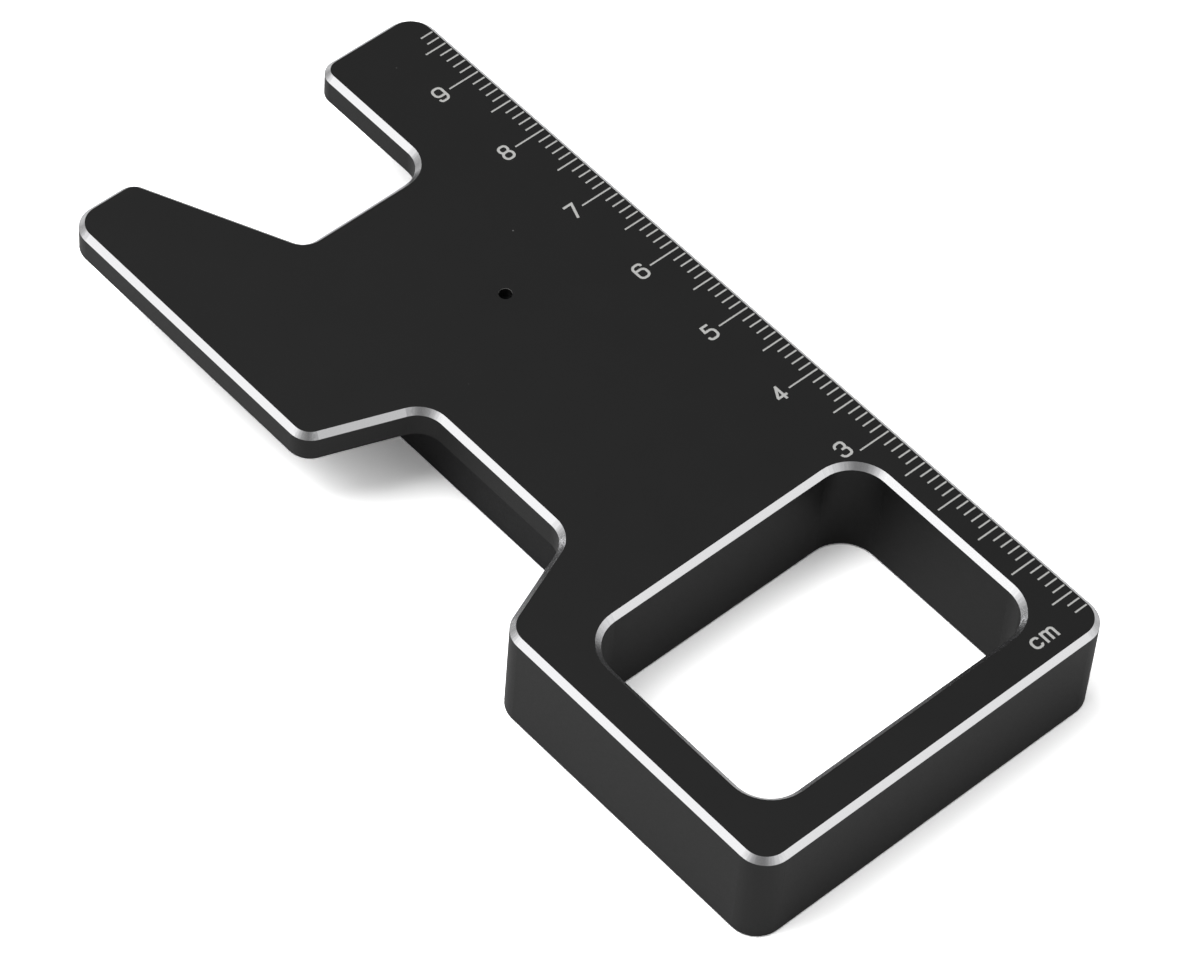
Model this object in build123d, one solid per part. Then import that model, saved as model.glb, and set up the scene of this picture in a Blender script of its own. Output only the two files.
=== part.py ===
from build123d import *
import os
from math import cos, floor, radians, sin, tan

# Camber caster gauge, lying on its underside with the engraved face up. Millimetres.
# While it is being made, x runs from the foot end to the fork end, y from the ruler edge to
# the left side and z up from the table. TO_FRAME moves it to the part's own frame at the end.

# ---- whole gauge ----
LENGTH = 100.6
WIDTH = 45.0
HEIGHT = 12.15
PLATE_THICKNESS = 3.35
TOP_CHAMFER = 0.6
UNDERSIDE_CHAMFER = 0.15

# ---- outline of the plate ----
OUTER_RADIUS = 3.0
FOOT_PAD = 35.7
SHOULDER_RUN = 4.5
WAIST_LENGTH = 20.0
RECESS_DEPTH = 11.9
WAIST_RADIUS = 3.0
FORK_SHOULDER_RADIUS = 2.5
NOTCH_DEPTH = 17.15
NOTCH_FLOOR = 15.8
NOTCH_SLANT_DEG = 25.0
RULER_PRONG = 13.0
NOTCH_SQUARE_RADIUS = 3.0
NOTCH_SLANT_RADIUS = 2.0
PRONG_TIP_RADIUS = 2.0

# ---- foot ----
WINDOW_LENGTH = 25.0
WINDOW_RIM = 5.0
WINDOW_RADIUS = 4.0
BAR_WIDTH = 5.0

# ---- engraved scale ----
MARK_DEPTH = 0.05
MARK_WIDTH = 0.2
SCALE_FIRST = 3
SCALE_END_MARGIN = 3.6
MARK_START = 0.7
SHORT_MARK_END = 2.25
HALF_MARK_END = 3.3
LONG_MARK_END = 4.5
WINDOW_LONG_MARK_END = 3.75
DIGIT_HEIGHT = 2.04
DIGIT_WIDTH = 1.38
DIGIT_PITCH = 1.75
DIGIT_CENTRE_Y = 5.7
FIRST_DIGIT_SHIFT = 1.15
UNIT_HEIGHT = 1.4
UNIT_CENTRE = (2.75, 6.62)
UNIT_C_X = -0.98
UNIT_C_HALF_WIDTH = 0.44
UNIT_M_X = 0.72
UNIT_M_STEP = 0.68
STROKE = 0.29

# ---- rear housing ----
HOUSING_INSET = 2.2
HOUSING_GAP = 0.15
HOUSING_END_RIM = 5.3
HOUSING_WALL = 1.6
HOUSING_FLOOR = 1.2
HOUSING_CORNER = 2.0
HOUSING_EDGE = 0.2
POST_RADIUS = 2.3
POST_INSET = 3.7
BATTERY_FLOOR = 2.35

# ---- fasteners ----
SCREW_RADIUS = 1.0
SCREW_LENGTH = 10.0
SCREW_HEAD_RADIUS = 1.9
SCREW_HEAD_HEIGHT = 1.1
SCREW_RECESS = 0.25
SCREW_CLEARANCE = 0.1
THREAD_CLEARANCE = 0.03
THREAD_SPARE = 0.5
BOARD_SCREW_RADIUS = 0.8
BOARD_SCREW_LENGTH = 3.0
BOARD_SCREW_HEAD_RADIUS = 1.5
BOARD_SCREW_HEAD_HEIGHT = 0.8
BOARD_SCREW_HEAD_EDGE = 0.3
BOARD_SCREW_INSET = 2.0
BOARD_SCREW_FROM_CELL = (-7.5, 14.6)
BOSS_RADIUS = 2.0
CROSS_WIDTH = 0.4
CROSS_DEPTH = 0.45
CROSS_REACH = 0.6

# ---- battery bay ----
CELL_RADIUS = 10.0
CELL_HEIGHT = 3.2
CELL_LID_SET_IN = 1.2
CELL_LID_HEIGHT = 0.25
CELL_EDGE = 0.4
CELL_FROM_BAR = 16.35
CAP_RECESS = 0.25
CAP_FLANGE = 1.2
CAP_FIT = 0.1
CAP_CUP_WALL = 0.9
CAP_CUP_HEIGHT = 1.7
CAP_FLANGE_LIP = 1.4
LUG_COUNT = 3
LUG_REACH = 0.8
LUG_HEIGHT = 0.7
LUG_ANGLE = 22.0
LUG_SLOT_ANGLE = 27.0
STOP_ANGLE = 5.0
STOP_GAP_ANGLE = 1.5
CAP_TURN_DEG = 45.0
COIN_SLOT_LENGTH = 15.0
COIN_SLOT_WIDTH = 1.8
COIN_SLOT_DEPTH = 0.6
SEAL_SECTION = 0.7
SEAL_GROOVE = 0.75
SEAL_FIT = 0.03
CONTACT_STRIP = 0.2
NEGATIVE_CONTACT_WIDTH = 3.0
NEGATIVE_CONTACT_BENDS = (1.0, 3.0, 4.6)
POSITIVE_CONTACT_WIDTH = 5.0
POSITIVE_CONTACT_TAIL = 2.0
POSITIVE_CONTACT_GAP = 0.02

# ---- marks that show how the cap turns ----
TURN_MARK_DEPTH = 0.2
TURN_MARK_DEG = 180.0
POINTER_LENGTH = 1.3
POINTER_WIDTH = 1.5
POINTER_FROM_CAP = 0.7
CAP_MARK_RADIUS = 0.45
CAP_MARK_BORE = 0.2
CAP_MARK_INSET = 1.2

# ---- circuit board and what is on it ----
BOARD_THICKNESS = 1.0
BOARD_UNDERSIDE = 5.8
BOARD_GAP = 0.5
POST_NOTCH_GAP = 0.4
LIGHT_HOLE_RADIUS = 0.7
LIGHT_FROM_NOTCH = 17.25
LIGHT_Y = 17.9
LIGHT_SUNK = 1.0
LIGHT_FIT = 0.03
LIGHT_FLANGE_RADIUS = 1.3
LIGHT_FLANGE = 0.5
LED_SIZE = (1.6, 0.8, 0.6)
LED_GAP = 0.1
TILT_SENSOR_SIZE = (3.0, 2.5, 0.8)
TILT_SENSOR_AT = (-1.0, 1.0)
RADIO_SIZE = (5.0, 5.0, 0.85)
RADIO_AT = (8.6, -3.6)
ANTENNA_SIZE = (5.0, 1.6, 1.0)
ANTENNA_INSET = 1.0
ANTENNA_Y = 4.6
CRYSTAL_SIZE = (3.2, 1.5, 0.8)
CRYSTALS_AT = ((8.6, 2.6, False), (9.0, -9.2, True))
REGULATOR_AT = (-9.0, 1.0)
REGULATOR_SIZE = (2.9, 1.6, 1.0)
REGULATOR_STAND = 0.1
REGULATOR_LEG = (0.4, 0.7, 0.25)
REGULATOR_LEG_TUCK = 0.1
REGULATOR_LEG_PITCH = 0.95
CAPACITOR_SIZE = (1.6, 0.8, 0.7)
RESISTOR_SIZE = (1.6, 0.8, 0.45)
TERMINAL_SHARE = 0.2
TERMINAL_PROUD = 0.04
CELL_CAPACITORS = ((-4.0, -7.0), (2.2, 0.0), 4, True)
RADIO_CAPACITORS = ((12.8, -5.6), (0.0, 1.8), 3, False)
REGULATOR_CAPACITORS = ((-9.0, 4.2), (0.0, -6.6), 2, False)
CELL_RESISTORS = ((-2.0, 8.6), (2.0, 0.0), 5, True)
LED_RESISTORS = ((3.2, 0.0), (0.0, 1.6), 3, False)

# ---- power button and its switch ----
BUTTON_RADIUS = 3.2
BUTTON_FIT = 0.1
BUTTON_RECESS = 0.3
BUTTON_EDGE = 0.3
BUTTON_FLANGE_GAP = 0.05
BUTTON_FLANGE = 0.5
BUTTON_FLANGE_LIP = 0.9
BUTTON_STEM_RADIUS = 1.1
BUTTON_DISH_RADIUS = 14.0
BUTTON_DISH_DEPTH = 0.25
BUTTON_FROM_CAP = 19.0
SWITCH_SIZE = 4.5
SWITCH_HEIGHT = 1.6
SWITCH_CAVITY_RADIUS = 1.75
SWITCH_ROOF = 0.4
SWITCH_LID = 0.4
PLUNGER_RADIUS = 0.9
PLUNGER_FIT = 0.08
PLUNGER_FLANGE_RADIUS = 1.5
PLUNGER_FLANGE = 0.3
PLUNGER_REACH = 0.55
PLUNGER_GAP = 0.05
PLUNGER_PLAY = 0.05
DOME_THICKNESS = 0.08
DOME_GAP = 0.02
DOME_RIM_GAP = 0.15

# ---- places that follow from the sizes above ----
UNDER_PLATE = HEIGHT - PLATE_THICKNESS
WAIST = WIDTH - RECESS_DEPTH
WAIST_START = FOOT_PAD + SHOULDER_RUN
WAIST_END = WAIST_START + WAIST_LENGTH
NOTCH_START = LENGTH - NOTCH_DEPTH
NOTCH_MOUTH = RULER_PRONG + NOTCH_FLOOR + NOTCH_DEPTH * tan(radians(NOTCH_SLANT_DEG))
WINDOW_END = WINDOW_RIM + WINDOW_LENGTH
BAR_END = WINDOW_END + BAR_WIDTH

HOUSING_X = (BAR_END + HOUSING_GAP, NOTCH_START - HOUSING_END_RIM)
HOUSING_Y = (HOUSING_INSET, WAIST - HOUSING_INSET)
MIDDLE_Y = (HOUSING_Y[0] + HOUSING_Y[1]) / 2
POSTS = [
    (x, y)
    for x in (HOUSING_X[0] + POST_INSET, HOUSING_X[1] - POST_INSET)
    for y in (HOUSING_Y[0] + POST_INSET, HOUSING_Y[1] - POST_INSET)
]

CELL = (BAR_END + CELL_FROM_BAR, MIDDLE_Y)
CUP_INNER = CELL_RADIUS + 2 * CAP_FIT
CUP_OUTER = CUP_INNER + CAP_CUP_WALL
LUG_OUTER = CUP_OUTER + LUG_REACH
FLANGE_OUTER = CUP_OUTER + CAP_FLANGE_LIP
CAP_TOP = CAP_RECESS + CAP_FLANGE
LEDGE_LOW = CAP_TOP + CAP_FIT
LUG_LOW = BATTERY_FLOOR + CAP_FIT
CELL_LOW = CAP_TOP + CAP_FIT
CELL_TOP = CELL_LOW + CELL_HEIGHT

BUTTON = (CELL[0] + BUTTON_FROM_CAP, MIDDLE_Y)
BOARD_TOP = BOARD_UNDERSIDE + BOARD_THICKNESS
BOARD_X = (HOUSING_X[0] + HOUSING_WALL + BOARD_GAP, HOUSING_X[1] - HOUSING_WALL - BOARD_GAP)
BOARD_Y = (HOUSING_Y[0] + HOUSING_WALL + BOARD_GAP, HOUSING_Y[1] - HOUSING_WALL - BOARD_GAP)
LIGHT = (NOTCH_START - LIGHT_FROM_NOTCH, LIGHT_Y)
BOARD_SCREWS = [
    (CELL[0] + BOARD_SCREW_FROM_CELL[0], BOARD_Y[0] + BOARD_SCREW_INSET),
    (CELL[0] + BOARD_SCREW_FROM_CELL[0], BOARD_Y[1] - BOARD_SCREW_INSET),
    (CELL[0] + BOARD_SCREW_FROM_CELL[1], BOARD_Y[0] + BOARD_SCREW_INSET),
]
SWITCH_LOW = BOARD_UNDERSIDE - SWITCH_HEIGHT
CAVITY = (SWITCH_LOW + SWITCH_ROOF, BOARD_UNDERSIDE - SWITCH_LID)
PLUNGER_LOW = SWITCH_LOW - PLUNGER_REACH
PLUNGER_FLANGE_LOW = CAVITY[0] + PLUNGER_PLAY

TO_FRAME = Pos(-LENGTH / 2, -WIDTH / 2, 0)


# ---- small helpers ----
def prism(face, low, high):
    """The solid that a flat face makes between two heights."""
    return Pos(0, 0, low) * extrude(face, high - low, dir=(0, 0, 1))


def box_between(xs, ys, zs):
    """A box given by its low and high limits on each axis."""
    size = (xs[1] - xs[0], ys[1] - ys[0], zs[1] - zs[0])
    low_corner = (Align.MIN, Align.MIN, Align.MIN)
    return Pos(xs[0], ys[0], zs[0]) * Box(*size, align=low_corner)


def disc(place, radius, low, high):
    """An upright cylinder at a place in plan, between two heights."""
    return Pos(place[0], place[1], low) * Cylinder(
        radius, high - low, align=(Align.CENTER, Align.CENTER, Align.MIN)
    )


def rounded_face(corners):
    """A flat face from (x, y, radius) corners."""
    points = [(x, y) for x, y, _ in corners]
    radii = [radius for _, _, radius in corners]
    return make_face(FilletPolyline(*points, radius=radii, close=True))


def sector(place, inner, outer, start_deg, angle_deg, low, high):
    """Part of an upright ring, from start_deg, angle_deg wide."""
    ring = disc(place, outer, low, high) - disc(place, inner, low, high)
    reach = 2 * outer
    first = radians(start_deg)
    last = radians(start_deg + angle_deg)
    wedge = make_face(Polyline(
        (0, 0),
        (reach * cos(first), reach * sin(first)),
        (reach * cos(last), reach * sin(last)),
        close=True,
    ))
    return ring & Pos(place[0], place[1], 0) * prism(wedge, low, high)


def edges_at(solid, height):
    """The edges of a solid that lie flat at one height."""
    return solid.edges().filter_by_position(Axis.Z, height - 0.001, height + 0.001)


# ---- engraved numbers, as strokes of one width ----
def stroke(*points, radius=0.0):
    """A stroke along rounded straight runs."""
    if len(points) == 2:
        return trace(Line(*points), STROKE)
    return trace(FilletPolyline(*points, radius=radius), STROKE)


def loop_stroke(*loops):
    """Closed strokes round rounded rectangles, each given by (low, high, half width, radius)."""
    filled = []
    holes = []
    for low, high, half_width, radius in loops:
        height = high - low
        centre = Pos(0, (low + high) / 2)
        half = STROKE / 2
        filled.append(centre * RectangleRounded(
            2 * (half_width + half), height + STROKE, radius + half
        ))
        holes.append(centre * RectangleRounded(
            2 * (half_width - half), height - STROKE, radius - half
        ))
    return Sketch() + filled - holes


def digit(number):
    """One digit about its own centre, upright along y."""
    top = (DIGIT_HEIGHT - STROKE) / 2
    side = (DIGIT_WIDTH - STROKE) / 2
    bowl = 0.8 * side
    waist = 0.02 * DIGIT_HEIGHT
    if number == 0:
        return loop_stroke((-top, top, side, bowl))
    if number == 1:
        return stroke((0.2 * side, -top), (0.2 * side, top)) + stroke(
            (0.2 * side, top), (-0.6 * side, 0.5 * top)
        )
    if number == 2:
        curl = stroke(
            (-side, 0.4 * top), (-side, top), (side, top), (side, 0.1 * top),
            (-0.85 * side, -top), radius=[bowl, bowl, 0.3],
        )
        return curl + stroke((-side - 0.4 * STROKE, -top), (side + 0.4 * STROKE, -top))
    if number == 3:
        upper = stroke(
            (-side, 0.45 * top), (-side, top), (0.88 * side, top), (0.88 * side, waist),
            (-0.2 * side, waist), radius=[bowl, 0.75 * bowl, 0.75 * bowl],
        )
        lower = stroke(
            (-0.2 * side, waist), (side, waist), (side, -top), (-side, -top),
            (-side, -0.45 * top), radius=[0.8 * bowl, 0.8 * bowl, bowl],
        )
        return upper + lower
    if number == 4:
        stem = 0.38 * side
        arm = -0.42 * top
        return (
            stroke((stem, -top), (stem, top + 0.5 * STROKE))
            + stroke((stem, top), (-side, arm))
            + stroke((-side - 0.3 * STROKE, arm), (side + 0.3 * STROKE, arm))
        )
    if number == 5:
        bar = 0.26 * top
        hook = stroke((0.8 * side, top), (-0.68 * side, top), (-0.8 * side, bar - STROKE / 2))
        belly = stroke(
            (-0.7 * side, bar), (side, bar), (side, -top), (-side, -top), (-side, -0.5 * top),
            radius=[bowl, bowl, 0.8 * bowl],
        )
        return hook + belly
    if number == 6:
        bar = 0.24 * top
        curl = stroke(
            (0.9 * side, 0.58 * top), (0.9 * side, top), (-side, top), (-side, -top),
            (side, -top), (side, bar), (-0.2 * side, bar),
            radius=[0.6 * bowl, bowl, bowl, bowl, bowl],
        )
        return curl + stroke((-0.1 * side, bar), (-side, bar))
    if number == 7:
        return stroke((-side, top), (side, top), (-0.25 * side, -top - 0.3 * STROKE))
    if number == 8:
        middle = 0.06 * top
        return loop_stroke(
            (-top, middle, side, bowl), (middle, top, 0.88 * side, 0.85 * bowl)
        )
    return Rot(0, 0, 180) * digit(6)


def number_face(value):
    """A whole number, its digits side by side about one centre."""
    digits = [int(letter) for letter in str(value)]
    first = -DIGIT_PITCH * (len(digits) - 1) / 2
    return [Pos(first + DIGIT_PITCH * place, 0) * digit(name) for place, name in enumerate(digits)]


def unit_face():
    """The letters c and m, the unit of the scale."""
    top = (UNIT_HEIGHT - STROKE) / 2
    side = UNIT_C_HALF_WIDTH
    letter_c = stroke(
        (side, 0.45 * top), (side, top), (-side, top), (-side, -top), (side, -top),
        (side, -0.45 * top), radius=[0.6 * side, 0.95 * side, 0.95 * side, 0.6 * side],
    )
    step = UNIT_M_STEP
    stems = [stroke((step * place, -top - STROKE / 2), (step * place, 0)) for place in (-1, 0, 1)]
    arches = [
        stroke((low, 0), (low, top), (low + step, top), (low + step, 0), radius=0.45 * step)
        for low in (-step, 0)
    ]
    serif = stroke((-step, 0), (-step, top + STROKE / 2))
    letter_m = stems + arches + [serif]
    return [Pos(UNIT_C_X, 0) * letter_c] + [Pos(UNIT_M_X, 0) * part for part in letter_m]


def engraving(faces, x, y):
    """Cutters for flat faces that read upright with the fork end up."""
    turn = Pos(x, y, HEIGHT - MARK_DEPTH) * Rot(0, 0, -90)
    cutter_height = 2 * MARK_DEPTH
    return [turn * extrude(face, cutter_height, dir=(0, 0, 1)) for face in faces]


def scale_cutters():
    """Millimetre marks, centimetre numbers and the unit, true to the foot end."""
    cutters = []
    last = floor(LENGTH - SCALE_END_MARGIN)
    for mark in range(SCALE_FIRST, last + 1):
        end = SHORT_MARK_END
        if mark % 5 == 0:
            end = HALF_MARK_END
        if mark % 10 == 0:
            end = LONG_MARK_END if mark >= WINDOW_END else WINDOW_LONG_MARK_END
        cutters.append(box_between(
            (mark - MARK_WIDTH / 2, mark + MARK_WIDTH / 2),
            (MARK_START, end),
            (HEIGHT - MARK_DEPTH, HEIGHT + MARK_DEPTH),
        ))
        if mark % 10 == 0 and mark >= WINDOW_END:
            beside_window = mark < WINDOW_END + DIGIT_HEIGHT
            shift = FIRST_DIGIT_SHIFT if beside_window else 0.0
            cutters += engraving(number_face(mark // 10), mark + shift, DIGIT_CENTRE_Y)
    return cutters + engraving(unit_face(), *UNIT_CENTRE)


# ---- frame ----
def plate_outline():
    """The plate in plan: foot, waist with its recess, and the fork with its notch."""
    return rounded_face([
        (0, 0, OUTER_RADIUS),
        (LENGTH, 0, OUTER_RADIUS),
        (LENGTH, RULER_PRONG, PRONG_TIP_RADIUS),
        (NOTCH_START, RULER_PRONG, NOTCH_SQUARE_RADIUS),
        (NOTCH_START, RULER_PRONG + NOTCH_FLOOR, NOTCH_SLANT_RADIUS),
        (LENGTH, NOTCH_MOUTH, PRONG_TIP_RADIUS),
        (LENGTH, WIDTH, OUTER_RADIUS),
        (WAIST_END + SHOULDER_RUN, WIDTH, FORK_SHOULDER_RADIUS),
        (WAIST_END, WAIST, WAIST_RADIUS),
        (WAIST_START, WAIST, WAIST_RADIUS),
        (FOOT_PAD, WIDTH, OUTER_RADIUS),
        (0, WIDTH, OUTER_RADIUS),
    ])


def window_face():
    """The window in the foot."""
    far = WIDTH - WINDOW_RIM
    return rounded_face([
        (WINDOW_RIM, WINDOW_RIM, WINDOW_RADIUS),
        (WINDOW_END, WINDOW_RIM, WINDOW_RADIUS),
        (WINDOW_END, far, WINDOW_RADIUS),
        (WINDOW_RIM, far, WINDOW_RADIUS),
    ])


def foot_outline():
    """The full-thickness foot in plan: it stops short of the rear housing."""
    land = HOUSING_Y[1] + HOUSING_GAP
    return plate_outline() & make_face(Polyline(
        (-1, -1),
        (BAR_END, -1),
        (BAR_END, land),
        (WAIST_START, land),
        (WAIST_START, WIDTH + 1),
        (-1, WIDTH + 1),
        close=True,
    ))


def gauge_frame():
    """Plate and foot, cut from one piece of aluminium."""
    plate = prism(plate_outline() - window_face(), UNDER_PLATE, HEIGHT)
    plate = chamfer(edges_at(plate, HEIGHT), TOP_CHAMFER)
    foot = prism(foot_outline() - window_face(), 0, UNDER_PLATE)
    foot = chamfer(edges_at(foot, 0), UNDERSIDE_CHAMFER)
    bosses = [disc(place, BOSS_RADIUS, BOARD_TOP, UNDER_PLATE) for place in BOARD_SCREWS]
    frame = plate + foot + bosses

    thread_radius = SCREW_RADIUS + THREAD_CLEARANCE
    thread_top = SCREW_RECESS + SCREW_LENGTH + THREAD_SPARE
    frame -= [disc(place, thread_radius, UNDER_PLATE, thread_top) for place in POSTS]
    board_thread = BOARD_SCREW_RADIUS + THREAD_CLEARANCE
    board_thread_top = BOARD_UNDERSIDE + BOARD_SCREW_LENGTH + THREAD_SPARE
    frame -= [disc(place, board_thread, BOARD_TOP, board_thread_top) for place in BOARD_SCREWS]

    frame -= disc(LIGHT, LIGHT_HOLE_RADIUS, UNDER_PLATE, HEIGHT)
    seat = LIGHT_FLANGE_RADIUS + LIGHT_FIT
    frame -= disc(LIGHT, seat, UNDER_PLATE, UNDER_PLATE + LIGHT_FLANGE)
    return frame - scale_cutters()


# ---- rear housing and its screws ----
def rear_housing():
    """Open-topped plastic box under the plate, with a post for each screw."""
    centre = ((HOUSING_X[0] + HOUSING_X[1]) / 2, MIDDLE_Y)
    length = HOUSING_X[1] - HOUSING_X[0]
    width = HOUSING_Y[1] - HOUSING_Y[0]
    footprint = Pos(*centre) * RectangleRounded(length, width, HOUSING_CORNER)
    shell = prism(footprint, 0, UNDER_PLATE)
    shell = fillet(edges_at(shell, 0), HOUSING_EDGE)
    room = Pos(*centre) * RectangleRounded(
        length - 2 * HOUSING_WALL, width - 2 * HOUSING_WALL, HOUSING_CORNER / 2
    )
    inside = prism(room, HOUSING_FLOOR, UNDER_PLATE)
    shell -= inside
    shell += disc(CELL, FLANGE_OUTER + HOUSING_WALL, HOUSING_FLOOR, BATTERY_FLOOR) & inside
    for place in POSTS:
        shell += disc(place, POST_RADIUS, HOUSING_FLOOR, UNDER_PLATE)

    shell -= disc(CELL, FLANGE_OUTER + CAP_FIT, 0, LEDGE_LOW)
    shell -= disc(CELL, CUP_OUTER + CAP_FIT, 0, BATTERY_FLOOR)
    for index in range(LUG_COUNT):
        locked = index * 360 / LUG_COUNT
        slot_start = locked - CAP_TURN_DEG - LUG_SLOT_ANGLE / 2
        shell -= sector(
            CELL, CUP_OUTER, LUG_OUTER + CAP_FIT, slot_start, LUG_SLOT_ANGLE, 0, BATTERY_FLOOR
        )
        locked_stop = locked + LUG_ANGLE / 2 + STOP_GAP_ANGLE
        for stop_start in (locked_stop, slot_start - STOP_ANGLE):
            shell += sector(
                CELL, CUP_OUTER + CAP_FIT, LUG_OUTER + LUG_HEIGHT, stop_start, STOP_ANGLE,
                BATTERY_FLOOR, LUG_LOW + LUG_HEIGHT,
            )
    for place in POSTS:
        shell -= disc(place, SCREW_RADIUS + SCREW_CLEARANCE, 0, UNDER_PLATE)
        shell -= countersink(place)
    return shell - disc(BUTTON, BUTTON_RADIUS + BUTTON_FIT, 0, HOUSING_FLOOR) - turn_pointer()


def turn_pointer():
    """Cutter for the small triangle beside the cap that its marks are turned to."""
    tip = FLANGE_OUTER + POINTER_FROM_CAP
    base = tip + POINTER_LENGTH
    half = POINTER_WIDTH / 2
    triangle = make_face(Polyline((tip, 0), (base, -half), (base, half), close=True))
    return Pos(*CELL) * Rot(0, 0, TURN_MARK_DEG) * prism(triangle, 0, TURN_MARK_DEPTH)


def countersink(place):
    """Cutter for one screw head: a recess and a cone."""
    wide = SCREW_HEAD_RADIUS + SCREW_CLEARANCE
    narrow = SCREW_RADIUS + SCREW_CLEARANCE
    cone = Pos(place[0], place[1], SCREW_RECESS) * Cone(
        wide, narrow, SCREW_HEAD_HEIGHT, align=(Align.CENTER, Align.CENTER, Align.MIN)
    )
    return disc(place, wide, 0, SCREW_RECESS) + cone


def cross_cutter(place, head_radius, low):
    """The cross recess in a screw head, seen from below."""
    reach = CROSS_REACH * head_radius
    half = CROSS_WIDTH / 2
    heights = (low, low + CROSS_DEPTH)
    return Pos(place[0], place[1], 0) * (
        box_between((-reach, reach), (-half, half), heights)
        + box_between((-half, half), (-reach, reach), heights)
    )


def housing_screws():
    """Countersunk screws from the underside into the plate."""
    screws = []
    for place in POSTS:
        head = Pos(place[0], place[1], SCREW_RECESS) * Cone(
            SCREW_HEAD_RADIUS, SCREW_RADIUS, SCREW_HEAD_HEIGHT,
            align=(Align.CENTER, Align.CENTER, Align.MIN),
        )
        shank = disc(place, SCREW_RADIUS, SCREW_RECESS, SCREW_RECESS + SCREW_LENGTH)
        screws.append(head + shank - cross_cutter(place, SCREW_HEAD_RADIUS, SCREW_RECESS))
    return Compound(children=screws)


# ---- battery bay ----
def battery_cap():
    """Bayonet cap: flange with a coin slot, cup round the cell and lugs over the ledge."""
    cap = disc(CELL, FLANGE_OUTER, CAP_RECESS, CAP_TOP)
    cap = fillet(edges_at(cap, CAP_RECESS), HOUSING_EDGE)
    cap += disc(CELL, CUP_OUTER, CAP_TOP, CAP_TOP + CAP_CUP_HEIGHT)
    cap -= disc(CELL, CUP_INNER, CAP_TOP, CAP_TOP + CAP_CUP_HEIGHT)
    lug_inner = (CUP_INNER + CUP_OUTER) / 2
    for index in range(LUG_COUNT):
        start = index * 360 / LUG_COUNT - LUG_ANGLE / 2
        cap += sector(
            CELL, lug_inner, LUG_OUTER, start, LUG_ANGLE, LUG_LOW, LUG_LOW + LUG_HEIGHT
        )
    middle = (CAP_RECESS + CAP_TOP) / 2
    groove_low = middle - SEAL_GROOVE / 2
    groove_high = middle + SEAL_GROOVE / 2
    groove_floor = FLANGE_OUTER + CAP_FIT - SEAL_SECTION - 2 * SEAL_FIT
    cap -= disc(CELL, FLANGE_OUTER, groove_low, groove_high) - disc(
        CELL, groove_floor, groove_low, groove_high
    )
    slot = Pos(*CELL) * SlotCenterToCenter(COIN_SLOT_LENGTH - COIN_SLOT_WIDTH, COIN_SLOT_WIDTH)
    return cap - prism(slot, CAP_RECESS, CAP_RECESS + COIN_SLOT_DEPTH) - cap_marks()


def cap_marks():
    """Cutters for the cap's two marks: a dot that points at the triangle when shut, a ring when open."""
    heights = (CAP_RECESS, CAP_RECESS + TURN_MARK_DEPTH)
    reach = FLANGE_OUTER - CAP_MARK_INSET
    marks = []
    for turned in (TURN_MARK_DEG, TURN_MARK_DEG + CAP_TURN_DEG):
        angle = radians(turned)
        place = (CELL[0] + reach * cos(angle), CELL[1] + reach * sin(angle))
        marks.append(disc(place, CAP_MARK_RADIUS, *heights))
    shut, opened = marks
    return [shut, opened - disc(place, CAP_MARK_BORE, *heights)]


def cap_seal():
    """O-ring in the rim of the cap."""
    section = SEAL_SECTION / 2
    ring_radius = FLANGE_OUTER + CAP_FIT - SEAL_FIT - section
    return Pos(CELL[0], CELL[1], (CAP_RECESS + CAP_TOP) / 2) * Torus(ring_radius, section)


def coin_cell():
    """Button cell, its wide can down and its lid up."""
    can_top = CELL_TOP - CELL_LID_HEIGHT
    can = disc(CELL, CELL_RADIUS, CELL_LOW, can_top)
    can = fillet(edges_at(can, CELL_LOW), CELL_EDGE)
    return can + disc(CELL, CELL_RADIUS - CELL_LID_SET_IN, can_top, CELL_TOP)


def strip(points, width, place):
    """Bent sheet metal: a profile in x and z, carried along y."""
    profile = trace(FilletPolyline(*points, radius=CONTACT_STRIP), CONTACT_STRIP)
    upright = Pos(place[0], place[1] + width / 2, 0) * Rot(90, 0, 0)
    return upright * extrude(profile, width, dir=(0, 0, 1))


def negative_contact():
    """Sprung leaf from the board down to the middle of the cell."""
    high = BOARD_UNDERSIDE - CONTACT_STRIP / 2
    low = CELL_TOP + CONTACT_STRIP / 2
    touch, rise, tail = NEGATIVE_CONTACT_BENDS
    half = [(touch, low), (rise, high), (tail, high)]
    points = [(-x, z) for x, z in reversed(half)] + half
    return strip(points, NEGATIVE_CONTACT_WIDTH, CELL)


def positive_contact():
    """Sprung clip from the board down the rim of the cell."""
    high = BOARD_UNDERSIDE - CONTACT_STRIP / 2
    low = CAP_TOP + CAP_CUP_HEIGHT + 2 * CAP_FIT
    rim = -CELL_RADIUS - CONTACT_STRIP / 2 - POSITIVE_CONTACT_GAP
    points = [(rim - POSITIVE_CONTACT_TAIL, high), (rim, high), (rim, low)]
    return strip(points, POSITIVE_CONTACT_WIDTH, CELL)


# ---- circuit board ----
def circuit_board():
    """Board between the posts, with holes for its screws."""
    centre = ((BOARD_X[0] + BOARD_X[1]) / 2, MIDDLE_Y)
    outline = Pos(*centre) * Rectangle(BOARD_X[1] - BOARD_X[0], BOARD_Y[1] - BOARD_Y[0])
    board = prism(outline, BOARD_UNDERSIDE, BOARD_TOP)
    for place in POSTS:
        board -= disc(place, POST_RADIUS + POST_NOTCH_GAP, BOARD_UNDERSIDE, BOARD_TOP)
    hole = BOARD_SCREW_RADIUS + SCREW_CLEARANCE
    for place in BOARD_SCREWS:
        board -= disc(place, hole, BOARD_UNDERSIDE, BOARD_TOP)
    return largest(board)


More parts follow.
